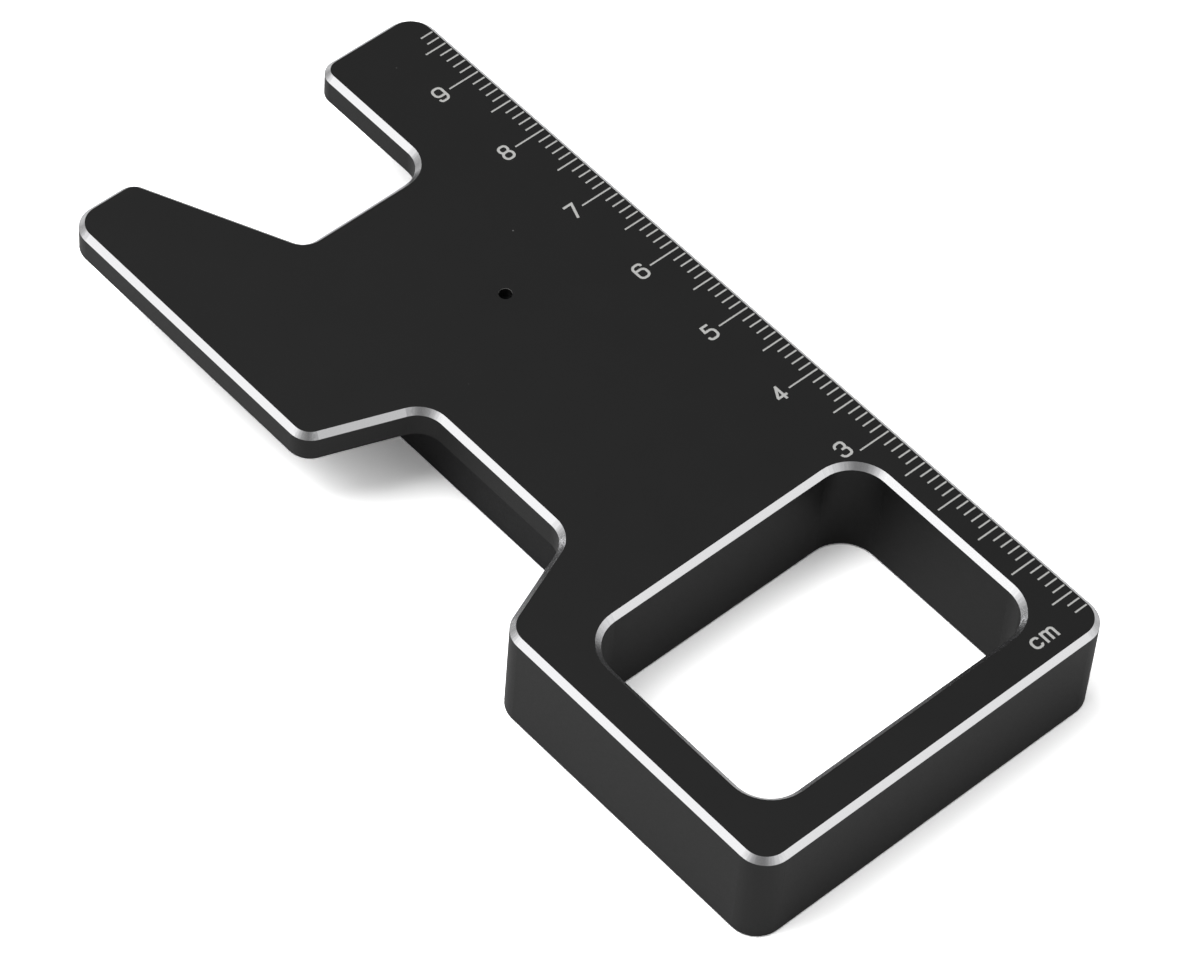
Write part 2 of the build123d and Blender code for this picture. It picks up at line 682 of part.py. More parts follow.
def largest(shape):
    """The biggest solid of a shape: corner scraps that a cut leaves fall away."""
    return max(shape.solids(), key=lambda solid: solid.volume)


def board_screws():
    """Pan-head screws up through the board into the bosses of the plate."""
    screws = []
    for place in BOARD_SCREWS:
        head_low = BOARD_UNDERSIDE - BOARD_SCREW_HEAD_HEIGHT
        head = disc(place, BOARD_SCREW_HEAD_RADIUS, head_low, BOARD_UNDERSIDE)
        head = fillet(edges_at(head, head_low), BOARD_SCREW_HEAD_EDGE)
        shank_top = BOARD_UNDERSIDE + BOARD_SCREW_LENGTH
        shank = disc(place, BOARD_SCREW_RADIUS, BOARD_UNDERSIDE, shank_top)
        screws.append(head + shank - cross_cutter(place, BOARD_SCREW_HEAD_RADIUS, head_low))
    return Compound(children=screws)


def chips(size, places, above=True):
    """Equal rectangular parts soldered to one side of the board, as one group."""
    length, width, height = size
    low = BOARD_TOP if above else BOARD_UNDERSIDE - height
    parts = []
    for x, y, turned in places:
        half_x = (width if turned else length) / 2
        half_y = (length if turned else width) / 2
        parts.append(box_between(
            (x - half_x, x + half_x), (y - half_y, y + half_y), (low, low + height)
        ))
    return Compound(children=parts) if len(parts) > 1 else parts[0]


def capped_chips(size, places):
    """Small two-terminal parts with a raised metal cap at each end."""
    length, width, height = size
    cap = TERMINAL_SHARE * length
    proud = TERMINAL_PROUD
    parts = []
    for x, y, turned in places:
        body = box_between(
            (-length / 2, length / 2), (-width / 2, width / 2), (proud, height - proud)
        )
        for side in (-1, 1):
            middle = side * (length - cap) / 2
            body += box_between(
                (middle - cap / 2, middle + cap / 2),
                (-width / 2 - proud, width / 2 + proud),
                (0, height),
            )
        parts.append(Pos(x, y, BOARD_TOP) * Rot(0, 0, 90 if turned else 0) * body)
    return Compound(children=parts)


def voltage_regulator():
    """Five-legged regulator on the board."""
    place = (CELL[0] + REGULATOR_AT[0], MIDDLE_Y + REGULATOR_AT[1])
    length, width, height = REGULATOR_SIZE
    low = BOARD_TOP + REGULATOR_STAND
    body = box_between(
        (place[0] - length / 2, place[0] + length / 2),
        (place[1] - width / 2, place[1] + width / 2),
        (low, low + height),
    )
    leg_width, leg_length, leg_height = REGULATOR_LEG
    for side, steps in ((-1, (-1, 0, 1)), (1, (-1, 1))):
        for step in steps:
            middle = place[0] + step * REGULATOR_LEG_PITCH
            inner = place[1] + side * (width / 2 - REGULATOR_LEG_TUCK)
            outer = inner + side * leg_length
            body += box_between(
                (middle - leg_width / 2, middle + leg_width / 2),
                (min(inner, outer), max(inner, outer)),
                (BOARD_TOP, BOARD_TOP + leg_height),
            )
    return body


def status_led():
    """Light source under the light pipe."""
    return chips(LED_SIZE, [(*LIGHT, False)])


def light_pipe():
    """Clear rod in the small hole of the plate, its flange under the plate."""
    low = BOARD_TOP + LED_SIZE[2] + LED_GAP
    rod = disc(LIGHT, LIGHT_HOLE_RADIUS - LIGHT_FIT, low, HEIGHT - LIGHT_SUNK)
    return rod + disc(LIGHT, LIGHT_FLANGE_RADIUS, UNDER_PLATE, UNDER_PLATE + LIGHT_FLANGE)


# ---- power button and its switch ----
def switch_body():
    """Hollow base of the switch, open below for the plunger."""
    half = SWITCH_SIZE / 2
    body = box_between(
        (BUTTON[0] - half, BUTTON[0] + half),
        (BUTTON[1] - half, BUTTON[1] + half),
        (SWITCH_LOW, BOARD_UNDERSIDE),
    )
    body -= disc(BUTTON, PLUNGER_RADIUS + PLUNGER_FIT, SWITCH_LOW, CAVITY[0])
    return body - disc(BUTTON, SWITCH_CAVITY_RADIUS, CAVITY[0], CAVITY[1])


def switch_plunger():
    """Plunger of the switch, kept in by its flange."""
    flange_top = PLUNGER_FLANGE_LOW + PLUNGER_FLANGE
    pin = disc(BUTTON, PLUNGER_RADIUS, PLUNGER_LOW, PLUNGER_FLANGE_LOW)
    return pin + disc(BUTTON, PLUNGER_FLANGE_RADIUS, PLUNGER_FLANGE_LOW, flange_top)


def switch_dome():
    """Sprung metal disc between the plunger and the board."""
    crown = PLUNGER_FLANGE_LOW + PLUNGER_FLANGE + DOME_GAP
    rim_radius = SWITCH_CAVITY_RADIUS - DOME_RIM_GAP
    rise = CAVITY[1] - crown - DOME_THICKNESS
    ball = (rim_radius ** 2 + rise ** 2) / (2 * rise)
    centre = crown + ball
    outer = Sphere(ball)
    inner = Sphere(ball - DOME_THICKNESS)
    cap_room = Cylinder(rim_radius, 2 * rise, align=(Align.CENTER, Align.CENTER, Align.MIN))
    shell = outer - inner
    low = Pos(0, 0, -ball) * cap_room
    return Pos(BUTTON[0], BUTTON[1], centre) * (shell & low)


def power_button():
    """Recessed thumb button with a stem up to the switch."""
    flange_low = HOUSING_FLOOR + BUTTON_FLANGE_GAP
    button = disc(BUTTON, BUTTON_RADIUS, BUTTON_RECESS, flange_low)
    button = fillet(edges_at(button, BUTTON_RECESS), BUTTON_EDGE)
    button += disc(
        BUTTON, BUTTON_RADIUS + BUTTON_FLANGE_LIP, flange_low, flange_low + BUTTON_FLANGE
    )
    stem_top = PLUNGER_LOW - PLUNGER_GAP
    button += disc(BUTTON, BUTTON_STEM_RADIUS, flange_low + BUTTON_FLANGE, stem_top)
    dish_centre = BUTTON_RECESS + BUTTON_DISH_DEPTH - BUTTON_DISH_RADIUS
    return button - Pos(BUTTON[0], BUTTON[1], dish_centre) * Sphere(BUTTON_DISH_RADIUS)


# ---- every node ----
def near(origin, start, step, count, turned):
    """Places of a row of equal parts, its start measured from an origin."""
    return [
        (origin[0] + start[0] + step[0] * index, origin[1] + start[1] + step[1] * index, turned)
        for index in range(count)
    ]


def small_parts():
    """Electronic parts on the board, by node name."""
    crystals = [(CELL[0] + x, CELL[1] + y, turned) for x, y, turned in CRYSTALS_AT]
    capacitors = [
        place
        for row in (CELL_CAPACITORS, RADIO_CAPACITORS, REGULATOR_CAPACITORS)
        for place in near(CELL, *row)
    ]
    resistors = near(CELL, *CELL_RESISTORS) + near(LIGHT, *LED_RESISTORS)
    antenna = (BOARD_X[1] - ANTENNA_INSET, CELL[1] + ANTENNA_Y, True)
    return {
        "tilt_sensor": chips(TILT_SENSOR_SIZE, near(CELL, TILT_SENSOR_AT, (0, 0), 1, False)),
        "radio_chip": chips(RADIO_SIZE, near(CELL, RADIO_AT, (0, 0), 1, False)),
        "chip_antenna": chips(ANTENNA_SIZE, [antenna], above=False),
        "clock_crystals": chips(CRYSTAL_SIZE, crystals),
        "voltage_regulator": voltage_regulator(),
        "ceramic_capacitors": capped_chips(CAPACITOR_SIZE, capacitors),
        "chip_resistors": capped_chips(RESISTOR_SIZE, resistors),
        "status_led": status_led(),
    }


def build():
    """Every node of the gauge, by name."""
    nodes = {
        "gauge_frame": gauge_frame(),
        "rear_housing": rear_housing(),
        "housing_screws": housing_screws(),
        "light_pipe": light_pipe(),
        "battery_cap": battery_cap(),
        "cap_seal": cap_seal(),
        "coin_cell": coin_cell(),
        "negative_contact": negative_contact(),
        "positive_contact": positive_contact(),
        "circuit_board": circuit_board(),
        "board_screws": board_screws(),
        "switch_body": switch_body(),
        "switch_plunger": switch_plunger(),
        "switch_dome": switch_dome(),
        "power_button": power_button(),
    }
    nodes.update(small_parts())
    return nodes


def main():
    """Write each node to its own file."""
    os.makedirs("parts", exist_ok=True)
    for name, shape in build().items():
        export_step(TO_FRAME * shape, f"parts/{name}.step")


main()
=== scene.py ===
"""Looks of a camber caster gauge: a black anodised plate with a forked end, a windowed foot and a rear housing.

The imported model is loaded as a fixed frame. Its nodes keep their shapes and get their finishes here, and a few
pieces that want finer relief than the construction holds are surfaces worked out with numpy.
"""

import logging
import math
from dataclasses import dataclass
from enum import Enum
from functools import lru_cache

import bmesh
import bpy
import numpy as np
from mathutils import Matrix, Vector


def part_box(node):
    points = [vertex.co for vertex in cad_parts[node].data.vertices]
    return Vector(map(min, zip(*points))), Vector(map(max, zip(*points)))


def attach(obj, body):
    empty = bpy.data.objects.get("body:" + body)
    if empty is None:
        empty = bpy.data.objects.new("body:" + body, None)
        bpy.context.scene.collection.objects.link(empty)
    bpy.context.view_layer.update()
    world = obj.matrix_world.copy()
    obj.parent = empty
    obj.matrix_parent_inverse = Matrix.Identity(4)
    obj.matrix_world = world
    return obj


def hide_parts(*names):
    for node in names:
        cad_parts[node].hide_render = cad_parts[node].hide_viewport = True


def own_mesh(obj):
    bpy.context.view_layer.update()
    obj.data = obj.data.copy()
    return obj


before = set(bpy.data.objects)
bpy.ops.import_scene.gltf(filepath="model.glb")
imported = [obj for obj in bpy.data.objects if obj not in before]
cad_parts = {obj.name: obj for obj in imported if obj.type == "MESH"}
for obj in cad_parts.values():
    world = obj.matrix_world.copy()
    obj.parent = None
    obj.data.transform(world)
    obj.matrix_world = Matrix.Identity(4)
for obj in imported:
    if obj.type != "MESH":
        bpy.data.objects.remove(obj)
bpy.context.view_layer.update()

LOG = logging.getLogger("gauge")
Tree, Node, Socket = bpy.types.NodeTree, bpy.types.Node, bpy.types.NodeSocket
MM = 0.001
WELD_MM = 1e-5
SMOOTH_BELOW_DEG = 40.0
SAME_SPOT_DIGITS, SORT_DIGITS = 3, 2
FLATTEN = (1.0, 1.0, 0.0)
SRGB_KNEE, SRGB_SLOPE, SRGB_OFFSET, SRGB_POWER = 0.04045, 12.92, 0.055, 2.4
# A mix node numbers its sockets: the two values, the two colours, and the colour that comes out.
VALUE_A, VALUE_B, MIX_A, MIX_B, MIXED = 2, 3, 6, 7, 2


class Body(Enum):
    """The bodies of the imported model, which a piece can ride on."""

    GAUGE = "gauge"
    CAP = "cap"
    BUTTON = "button"


# ---- colours and nodes ----
def linear(hex_code: str) -> tuple[float, float, float, float]:
    """Turns an sRGB hex colour into linear red, green, blue and alpha, by the curve of the sRGB standard.

    Args:
        hex_code: Six hex digits, such as "c8c9ca".

    Returns:
        The four channels that a shader socket takes.
    """
    channels = [int(hex_code[place:place + 2], 16) / 255 for place in (0, 2, 4)]
    red, green, blue = (
        value / SRGB_SLOPE if value <= SRGB_KNEE else ((value + SRGB_OFFSET) / (1 + SRGB_OFFSET)) ** SRGB_POWER
        for value in channels
    )
    return red, green, blue, 1.0


def add_node(tree: Tree, kind: str, inputs: dict | None = None, **settings: object) -> Node:
    """Adds one node to a tree with its settings and links.

    Args:
        tree: The node tree that takes the node.
        kind: The node's Blender type.
        inputs: Values or output sockets, by input name or number.
        **settings: The node's own options.

    Returns:
        The new node.
    """
    node = tree.nodes.new(kind)
    for name, value in settings.items():
        setattr(node, name, value)
    for key, value in (inputs or {}).items():
        if isinstance(value, Socket):
            tree.links.new(value, node.inputs[key])
        else:
            node.inputs[key].default_value = value
    return node


def reckon(tree: Tree, operation: str, *values: Socket | float) -> Socket:
    """Adds one step of arithmetic.

    Args:
        tree: The node tree that takes it.
        operation: What is done, by Blender's name.
        *values: What it is done to.

    Returns:
        The result.
    """
    return add_node(tree, "ShaderNodeMath", dict(enumerate(values)), operation=operation).outputs[0]


def between(tree: Tree, share: Socket, first: Socket | float, second: float) -> Socket:
    """Goes from one value to another.

    Args:
        tree: The node tree that takes the step.
        share: How far it goes, from 0 to 1.
        first: The value at 0.
        second: The value at 1.

    Returns:
        The value between them.
    """
    return add_node(tree, "ShaderNodeMix", {0: share, VALUE_A: first, VALUE_B: second}).outputs[0]


def blend(tree: Tree, share: Socket, first: Socket | tuple, second: Socket | tuple) -> Socket:
    """Goes from one colour to another.

    Args:
        tree: The node tree that takes the step.
        share: How far it goes, from 0 to 1.
        first: The colour at 0.
        second: The colour at 1.

    Returns:
        The colour between them.
    """
    step = add_node(tree, "ShaderNodeMix", {0: share, MIX_A: first, MIX_B: second}, data_type="RGBA")
    return step.outputs[MIXED]


def per_metre(size_mm: float) -> float:
    """Works out the texture scale at which one feature is size_mm wide.

    Args:
        size_mm: The feature's width in mm.

    Returns:
        The scale, in features per metre.
    """
    return 1 / (size_mm * MM)


# ---- finishes ----
@dataclass(frozen=True)
class Finish:
    """One surface finish.

    Its grain is a noise of grain_mm that moves the colour between two tones, spreads the roughness and lifts the
    surface by relief_mm. A second, broad noise of cloud_mm varies the tone from place to place.
    """

    name: str
    light_tone: str
    deep_tone: str
    roughness: float
    grain_mm: float
    relief_mm: float
    roughness_spread: float = 0.06
    cloud_mm: float = 6.0
    grain_detail: float = 3.0
    cloud_detail: float = 2.0
    metallic: float = 0.0
    ior: float = 1.5
    specular: float = 0.5
    transmission: float = 0.0

    def material(self) -> bpy.types.Material:
        """Builds the Blender material of the finish.

        Returns:
            The new material.
        """
        made = bpy.data.materials.new(self.name)
        made.use_nodes = True
        tree = made.node_tree
        tree.nodes.clear()
        surface = add_node(tree, "ShaderNodeBsdfPrincipled", {
            "Metallic": self.metallic,
            "IOR": self.ior,
            "Specular IOR Level": self.specular,
            "Transmission Weight": self.transmission,
        })
        add_node(tree, "ShaderNodeOutputMaterial", {"Surface": surface.outputs["BSDF"]})
        self.dress(tree, add_node(tree, "ShaderNodeTexCoord"), surface)
        return made

    def dress(self, tree: Tree, place: Node, surface: Node) -> None:
        """Links the grain to the shader.

        Args:
            tree: The material's node tree.
            place: Its texture coordinates.
            surface: Its Principled shader.
        """
        grain = self.grain(tree, place)
        tree.links.new(self.tone(tree, place, grain), surface.inputs["Base Color"])
        tree.links.new(self.gloss(tree, grain), surface.inputs["Roughness"])
        tree.links.new(self.relief(tree, grain), surface.inputs["Normal"])

    def grain(self, tree: Tree, place: Node) -> Socket:
        """Adds the fine noise of the surface.

        Args:
            tree: The material's node tree.
            place: Its texture coordinates.

        Returns:
            The noise, from 0 to 1.
        """
        noise = add_node(tree, "ShaderNodeTexNoise", {
            "Vector": place.outputs["Object"], "Scale": per_metre(self.grain_mm), "Detail": self.grain_detail,
        })
        return noise.outputs["Fac"]

    def tone(self, tree: Tree, place: Node, grain: Socket) -> Socket:
        """Blends the two tones by the mean of the grain and the broad noise.

        Args:
            tree: The material's node tree.
            place: Its texture coordinates.
            grain: The fine noise.

        Returns:
            The colour.
        """
        cloud = add_node(tree, "ShaderNodeTexNoise", {
            "Vector": place.outputs["Object"], "Scale": per_metre(self.cloud_mm), "Detail": self.cloud_detail,
        })
        mean = reckon(tree, "MULTIPLY", reckon(tree, "ADD", grain, cloud.outputs["Fac"]), 1 / 2)
        return blend(tree, mean, linear(self.deep_tone), linear(self.light_tone))

    def gloss(self, tree: Tree, grain: Socket) -> Socket:
        """Spreads the roughness about its middle value, by the grain.

        Args:
            tree: The material's node tree.
            grain: The fine noise.

        Returns:
            The roughness.
        """
        spread = add_node(tree, "ShaderNodeMapRange", {
            "Value": grain,
            "To Min": self.roughness - self.roughness_spread,
            "To Max": self.roughness + self.roughness_spread,
        })
        return spread.outputs["Result"]

    def relief(self, tree: Tree, grain: Socket) -> Socket:
        """Lifts the surface by the grain.

        Args:
            tree: The material's node tree.
            grain: The fine noise.

        Returns:
            The lifted normal.
        """
        bump = add_node(tree, "ShaderNodeBump", {"Height": grain, "Distance": self.relief_mm * MM})
        return bump.outputs["Normal"]


@dataclass(frozen=True)
class BrightCutAnodising(Finish):
    """Bead-blasted black anodising on aluminium, with edges cut bright after dyeing and laser-whitened marks.

    The bright-cut chamfers are the band below the face that leans 45 degrees. The marks are the floors and walls
    of the engraving, just below the face. All else is the dyed layer. The limits of the marks' band are shares of
    their depth, and the specks' range is in shares of their cell.
    """

    face_mm: float = 12.15
    chamfer_mm: float = 0.6
    mark_depth_mm: float = 0.05
    cut_light: str = "f6f6f7"
    cut_deep: str = "e7e7e9"
    mark_light: str = "cfcfcd"
    mark_deep: str = "b9b9b7"
    cut_roughness: float = 0.26
    mark_roughness: float = 0.6
    height_slack_mm: float = 0.01
    lean_slack: float = 0.12
    mark_band_drop: float = 0.125
    mark_band_half: float = 0.55
    feed_marks_per_radian: float = 22.0
    feed_detail: float = 1.0
    feed_range: tuple[float, float] = (0.3, 0.7)
    speck_cell_mm: float = 5.0
    speck_range: tuple[float, float] = (0.008, 0.022)
    speck_lean: float = 0.9
    speck_tone: str = "6c6c6c"

    def dress(self, tree: Tree, place: Node, surface: Node) -> None:
        """Links the dyed layer, the bright cut and the marks to the shader.

        Args:
            tree: The material's node tree.
            place: Its texture coordinates.
            surface: Its Principled shader.
        """
        grain = self.grain(tree, place)
        cut, mark = self.masks(tree, place)
        dyed = self.specks(tree, place, self.tone(tree, place, grain))
        laser = blend(tree, grain, linear(self.mark_deep), linear(self.mark_light))
        bright = blend(tree, self.feed(tree, place), linear(self.cut_deep), linear(self.cut_light))
        colour = blend(tree, cut, blend(tree, mark, dyed, laser), bright)
        uncut_gloss = between(tree, mark, self.gloss(tree, grain), self.mark_roughness)
        bump = add_node(tree, "ShaderNodeBump", {
            "Height": grain, "Distance": self.relief_mm * MM, "Strength": reckon(tree, "SUBTRACT", 1.0, cut),
        })
        tree.links.new(colour, surface.inputs["Base Color"])
        tree.links.new(cut, surface.inputs["Metallic"])
        tree.links.new(between(tree, cut, uncut_gloss, self.cut_roughness), surface.inputs["Roughness"])
        tree.links.new(bump.outputs["Normal"], surface.inputs["Normal"])

    def masks(self, tree: Tree, place: Node) -> tuple[Socket, Socket]:
        """Finds where the surface is cut bright, and where it is marked.

        Args:
            tree: The material's node tree.
            place: Its texture coordinates.

        Returns:
            The two masks, each 0 or 1.
        """
        height = add_node(tree, "ShaderNodeSeparateXYZ", {"Vector": place.outputs["Object"]}).outputs["Z"]
        lean = add_node(tree, "ShaderNodeSeparateXYZ", {"Vector": place.outputs["Normal"]}).outputs["Z"]
        cut_low = (self.face_mm - self.chamfer_mm - self.height_slack_mm) * MM
        above = reckon(tree, "GREATER_THAN", height, cut_low)
        slanted = reckon(tree, "COMPARE", lean, math.sqrt(1 / 2), self.lean_slack)
        cut = reckon(tree, "MULTIPLY", above, slanted)
        band = (self.face_mm - self.mark_depth_mm / 2) * MM - self.mark_depth_mm * self.mark_band_drop * MM
        deep = reckon(tree, "COMPARE", height, band, self.mark_band_half * self.mark_depth_mm * MM)
        return cut, reckon(tree, "MULTIPLY", deep, reckon(tree, "SUBTRACT", 1.0, cut))

    def feed(self, tree: Tree, place: Node) -> Socket:
        """Adds the chamfer cutter's feed marks: noise by the direction that the cut faces, so they run across it.

        Args:
            tree: The material's node tree.
            place: Its texture coordinates.

        Returns:
            The marks, from 0 to 1.
        """
        turned = add_node(tree, "ShaderNodeTexNoise", {
            "Vector": place.outputs["Normal"], "Scale": self.feed_marks_per_radian, "Detail": self.feed_detail,
        })
        spread = add_node(tree, "ShaderNodeMapRange", {
            "Value": turned.outputs["Fac"], "From Min": self.feed_range[0], "From Max": self.feed_range[1],
        })
        return spread.outputs["Result"]

    def specks(self, tree: Tree, place: Node, colour: Socket) -> Socket:
        """Lays a few pale specks of dust, about a tenth of a millimetre wide, over the faces that look up.

        Args:
            tree: The material's node tree.
            place: Its texture coordinates.
            colour: The colour under them.

        Returns:
            The dusty colour.
        """
        flat = add_node(tree, "ShaderNodeVectorMath", {
            0: place.outputs["Object"], 1: FLATTEN,
        }, operation="MULTIPLY")
        cells = add_node(tree, "ShaderNodeTexVoronoi", {
            "Vector": flat.outputs[0], "Scale": per_metre(self.speck_cell_mm),
        })
        near = add_node(tree, "ShaderNodeMapRange", {
            "Value": cells.outputs["Distance"],
            "From Min": self.speck_range[0],
            "From Max": self.speck_range[1],
            "To Min": 1.0,
            "To Max": 0.0,
        })
        lean = add_node(tree, "ShaderNodeSeparateXYZ", {"Vector": place.outputs["Normal"]})
        up = reckon(tree, "GREATER_THAN", lean.outputs["Z"], self.speck_lean)
        amount = reckon(tree, "MULTIPLY", near.outputs["Result"], up)
        return blend(tree, amount, colour, linear(self.speck_tone))


# Black anodised aluminium, bead-blasted: nearly black, matte, with a grain too fine to count.
ANODISED = BrightCutAnodising(
    "black_anodised_aluminium", "191919", "111111", roughness=0.42, grain_mm=0.16, relief_mm=0.004, specular=0.35,
)
# Black ABS from a spark-eroded mould: a fine even pebble that scatters the light.
MOULDED_ABS = Finish(
    "spark_textured_abs", "1d1d1e", "141415", roughness=0.58, grain_mm=0.22, relief_mm=0.016, specular=0.4,
)
# Black-oxide screws: dark blued steel, a little oily.
BLACK_OXIDE = Finish(
    "black_oxide_steel", "3c3d40", "242527", roughness=0.34, grain_mm=0.08, relief_mm=0.003, metallic=1.0,
)
# Smoke-tinted acrylic light pipe: dark until the light under it is lit, smooth, with faint flow waves.
ACRYLIC = Finish(
    "smoked_acrylic", "1c1d1f", "141516", roughness=0.12, roughness_spread=0.03, grain_mm=0.4, relief_mm=0.002,
    ior=1.49, specular=0.2, transmission=0.6,
)
# Nitrile rubber: soft black with a dull bloom.
NITRILE = Finish(
    "nitrile_rubber", "202020", "161616", roughness=0.7, grain_mm=0.12, relief_mm=0.004, specular=0.35,
)
# Nickel-plated cell steel: satin, warm silver.
CELL_STEEL = Finish(
    "nickel_plated_cell_steel", "cfcdc6", "b9b7b0", roughness=0.28, grain_mm=0.1, relief_mm=0.0015, metallic=1.0,
)
# Nickel-plated phosphor bronze strip: bright and faintly yellow.
SPRING_STRIP = Finish(
    "plated_phosphor_bronze", "d8cdb0", "bfb294", roughness=0.26, grain_mm=0.15, relief_mm=0.0015, metallic=1.0,
)
# Zinc-plated steel: cool bright silver with a fine crystal grain.
ZINC = Finish(
    "bright_zinc_plate", "cbced3", "a9adb3", roughness=0.3, grain_mm=0.09, relief_mm=0.002, metallic=1.0,
)
# Glass epoxy board under solder mask: glossy dark green, faintly uneven.
SOLDER_MASK = Finish(
    "solder_mask_on_laminate", "14502c", "0d3d20", roughness=0.32, grain_mm=0.3, relief_mm=0.004, cloud_mm=4.0,
)
# Moulded epoxy of chip packages: charcoal, slightly sparkling with silica filler.
CHIP_EPOXY = Finish("chip_mould_epoxy", "262729", "1a1b1d", roughness=0.5, grain_mm=0.06, relief_mm=0.004)
# Natural nylon: milky, a little waxy.
NYLON = Finish("natural_nylon", "e6dfcc", "d6cdb6", roughness=0.45, grain_mm=0.2, relief_mm=0.003)
# Soft-feel button plastic: a shade lighter than the housing and smoother.
BUTTON_PLASTIC = Finish(
    "smooth_matt_button_plastic", "2b2b2d", "222224", roughness=0.42, grain_mm=0.12, relief_mm=0.004,
)
# Glazed alumina: off-white, smooth.
ALUMINA = Finish("glazed_alumina", "e4e1d8", "d3cfc4", roughness=0.35, grain_mm=0.12, relief_mm=0.002)
# Barium titanate of ceramic capacitors: matt tan.
TITANATE = Finish("capacitor_ceramic", "a58260", "8c6b4a", roughness=0.5, grain_mm=0.07, relief_mm=0.003)
# Resistor overglaze: black glass on a white substrate.
OVERGLAZE = Finish("resistor_glaze", "1b1c1f", "131416", roughness=0.25, grain_mm=0.1, relief_mm=0.002)
# Tinned terminations and solder: bright grey with a soft frosted skin.
SOLDER = Finish("tin_solder", "d3d6da", "adb1b6", roughness=0.32, grain_mm=0.12, relief_mm=0.003, metallic=1.0)
# Gold flash over nickel on the pads: thin warm gold.
PAD_GOLD = Finish(
    "gold_flashed_pads", "e2c277", "c9a452", roughness=0.28, grain_mm=0.1, relief_mm=0.001, metallic=1.0,
)
# Clear silicone over a phosphor: pale yellow, glossy.
LED_RESIN = Finish("phosphor_resin", "f1e9a8", "e3d98c", roughness=0.2, grain_mm=0.1, relief_mm=0.002)
# Polypropylene gasket of the cell: translucent grey-white.
GASKET = Finish("polypropylene_gasket", "b8b7b0", "a3a29b", roughness=0.45, grain_mm=0.15, relief_mm=0.002)


@lru_cache(maxsize=None)
def material_of(finish: Finish) -> bpy.types.Material:
    """Makes a finish's Blender material once, and gives the same one again from then on.

    Args:
        finish: The finish.

    Returns:
        Its material.
    """
    return finish.material()


# ---- surfaces ----
def lathe(profile: np.ndarray, centre: tuple[float, float], columns: int) -> np.ndarray:
    """A turned surface: every (radius, height) row of the profile goes once round an upright axis.

    Args:
        profile: Rows of radius and height in mm, from pole to pole.
        centre: The axis in plan, in mm.
        columns: Points round the axis.

    Returns:
        A grid of points, rows by columns by 3, in mm.
    """
    turn = np.linspace(0, 2 * np.pi, columns, endpoint=False)
    x = centre[0] + profile[:, :1] * np.cos(turn)
    y = centre[1] + profile[:, :1] * np.sin(turn)
    z = np.broadcast_to(profile[:, 1:], x.shape)
    return np.stack((x, y, z), axis=-1)


def rounded_boxes(low: np.ndarray, high: np.ndarray, radius: float, steps: int = 2) -> np.ndarray:
    """Boxes with round edges: an inner box's corner plus the radius times a direction, over all directions.

    Args:
        low: Lowest corners, n by 3, in mm.
        high: Highest corners, n by 3, in mm.
        radius: Edge radius in mm.
        steps: Facets along each edge's quarter turn.

    Returns:
        Grids of points, n by rows by columns by 3, in mm.
    """
    quarter = np.linspace(0, np.pi / 2, steps + 1)
    around = (quarter + np.arange(4)[:, None] * np.pi / 2).ravel()
    side_x = np.repeat([1, -1, -1, 1], steps + 1)
    side_y = np.repeat([1, 1, -1, -1], steps + 1)
    tilt = np.concatenate((quarter, quarter + np.pi / 2))
    side_z = np.repeat([1, -1], steps + 1)
    direction = np.stack((
        np.outer(np.sin(tilt), np.cos(around)),
        np.outer(np.sin(tilt), np.sin(around)),
        np.broadcast_to(np.cos(tilt)[:, None], (tilt.size, around.size)),
    ), axis=-1)
    corner = np.stack((
        np.broadcast_to(side_x, direction.shape[:2]),
        np.broadcast_to(side_y, direction.shape[:2]),
        np.broadcast_to(side_z[:, None], direction.shape[:2]),
    ), axis=-1)
    middle = (low + high)[:, None, None] / 2
    inner = (high - low)[:, None, None] / 2 - radius
    shell = middle + corner * inner + radius * direction
    pole = np.zeros((len(low), 1, around.size, 3)) + middle
    top, bottom = pole.copy(), pole.copy()
    top[..., 2] = high[:, None, None, 2]
    bottom[..., 2] = low[:, None, None, 2]
    return np.concatenate((top, shell, bottom), axis=1)


def ribbons(paths: np.ndarray, across: np.ndarray, half_width: float, half_thickness: float) -> np.ndarray:
    """Flat strips: a thin rectangle carried along each path, its width along one steady direction.

    Args:
        paths: Middle lines, n by points by 3, in mm.
        across: The width's direction, n by 3.
        half_width: Half of the strip's width in mm.
        half_thickness: Half of its thickness in mm.

    Returns:
        Grids of points, n by points + 2 by 4 by 3, in mm. The two extra rows close the ends.
    """
    along = np.gradient(paths, axis=1)
    along /= np.linalg.norm(along, axis=-1, keepdims=True)
    wide = np.broadcast_to(across[:, None], paths.shape)
    thick = np.cross(along, wide)
    thick /= np.linalg.norm(thick, axis=-1, keepdims=True)
    corners = [
        paths + side_w * half_width * wide + side_t * half_thickness * thick
        for side_w, side_t in ((1, 1), (-1, 1), (-1, -1), (1, -1))
    ]
    tube = np.stack(corners, axis=2)
    first = np.repeat(paths[:, :1, None], 4, axis=2)
    last = np.repeat(paths[:, -1:, None], 4, axis=2)
    return np.concatenate((first, tube, last), axis=1)


def grid_faces(copies: int, rows: int, columns: int) -> np.ndarray:
    """Numbers the corners of the quads of grids of points whose last column joins the first.

    Args:
        copies: How many grids there are.
        rows: Rows of each.
        columns: Columns of each.

    Returns:
        The four corners of every quad, quads by 4.
    """
    row = np.arange(rows - 1)[:, None]
    column = np.arange(columns)
    after = (column + 1) % columns
    quads = np.stack((
        row * columns + column,
        (row + 1) * columns + column,
        (row + 1) * columns + after,
        row * columns + after,
    ), axis=-1).reshape(-1, 4)
    return (quads + np.arange(copies)[:, None, None] * rows * columns).reshape(-1, 4)


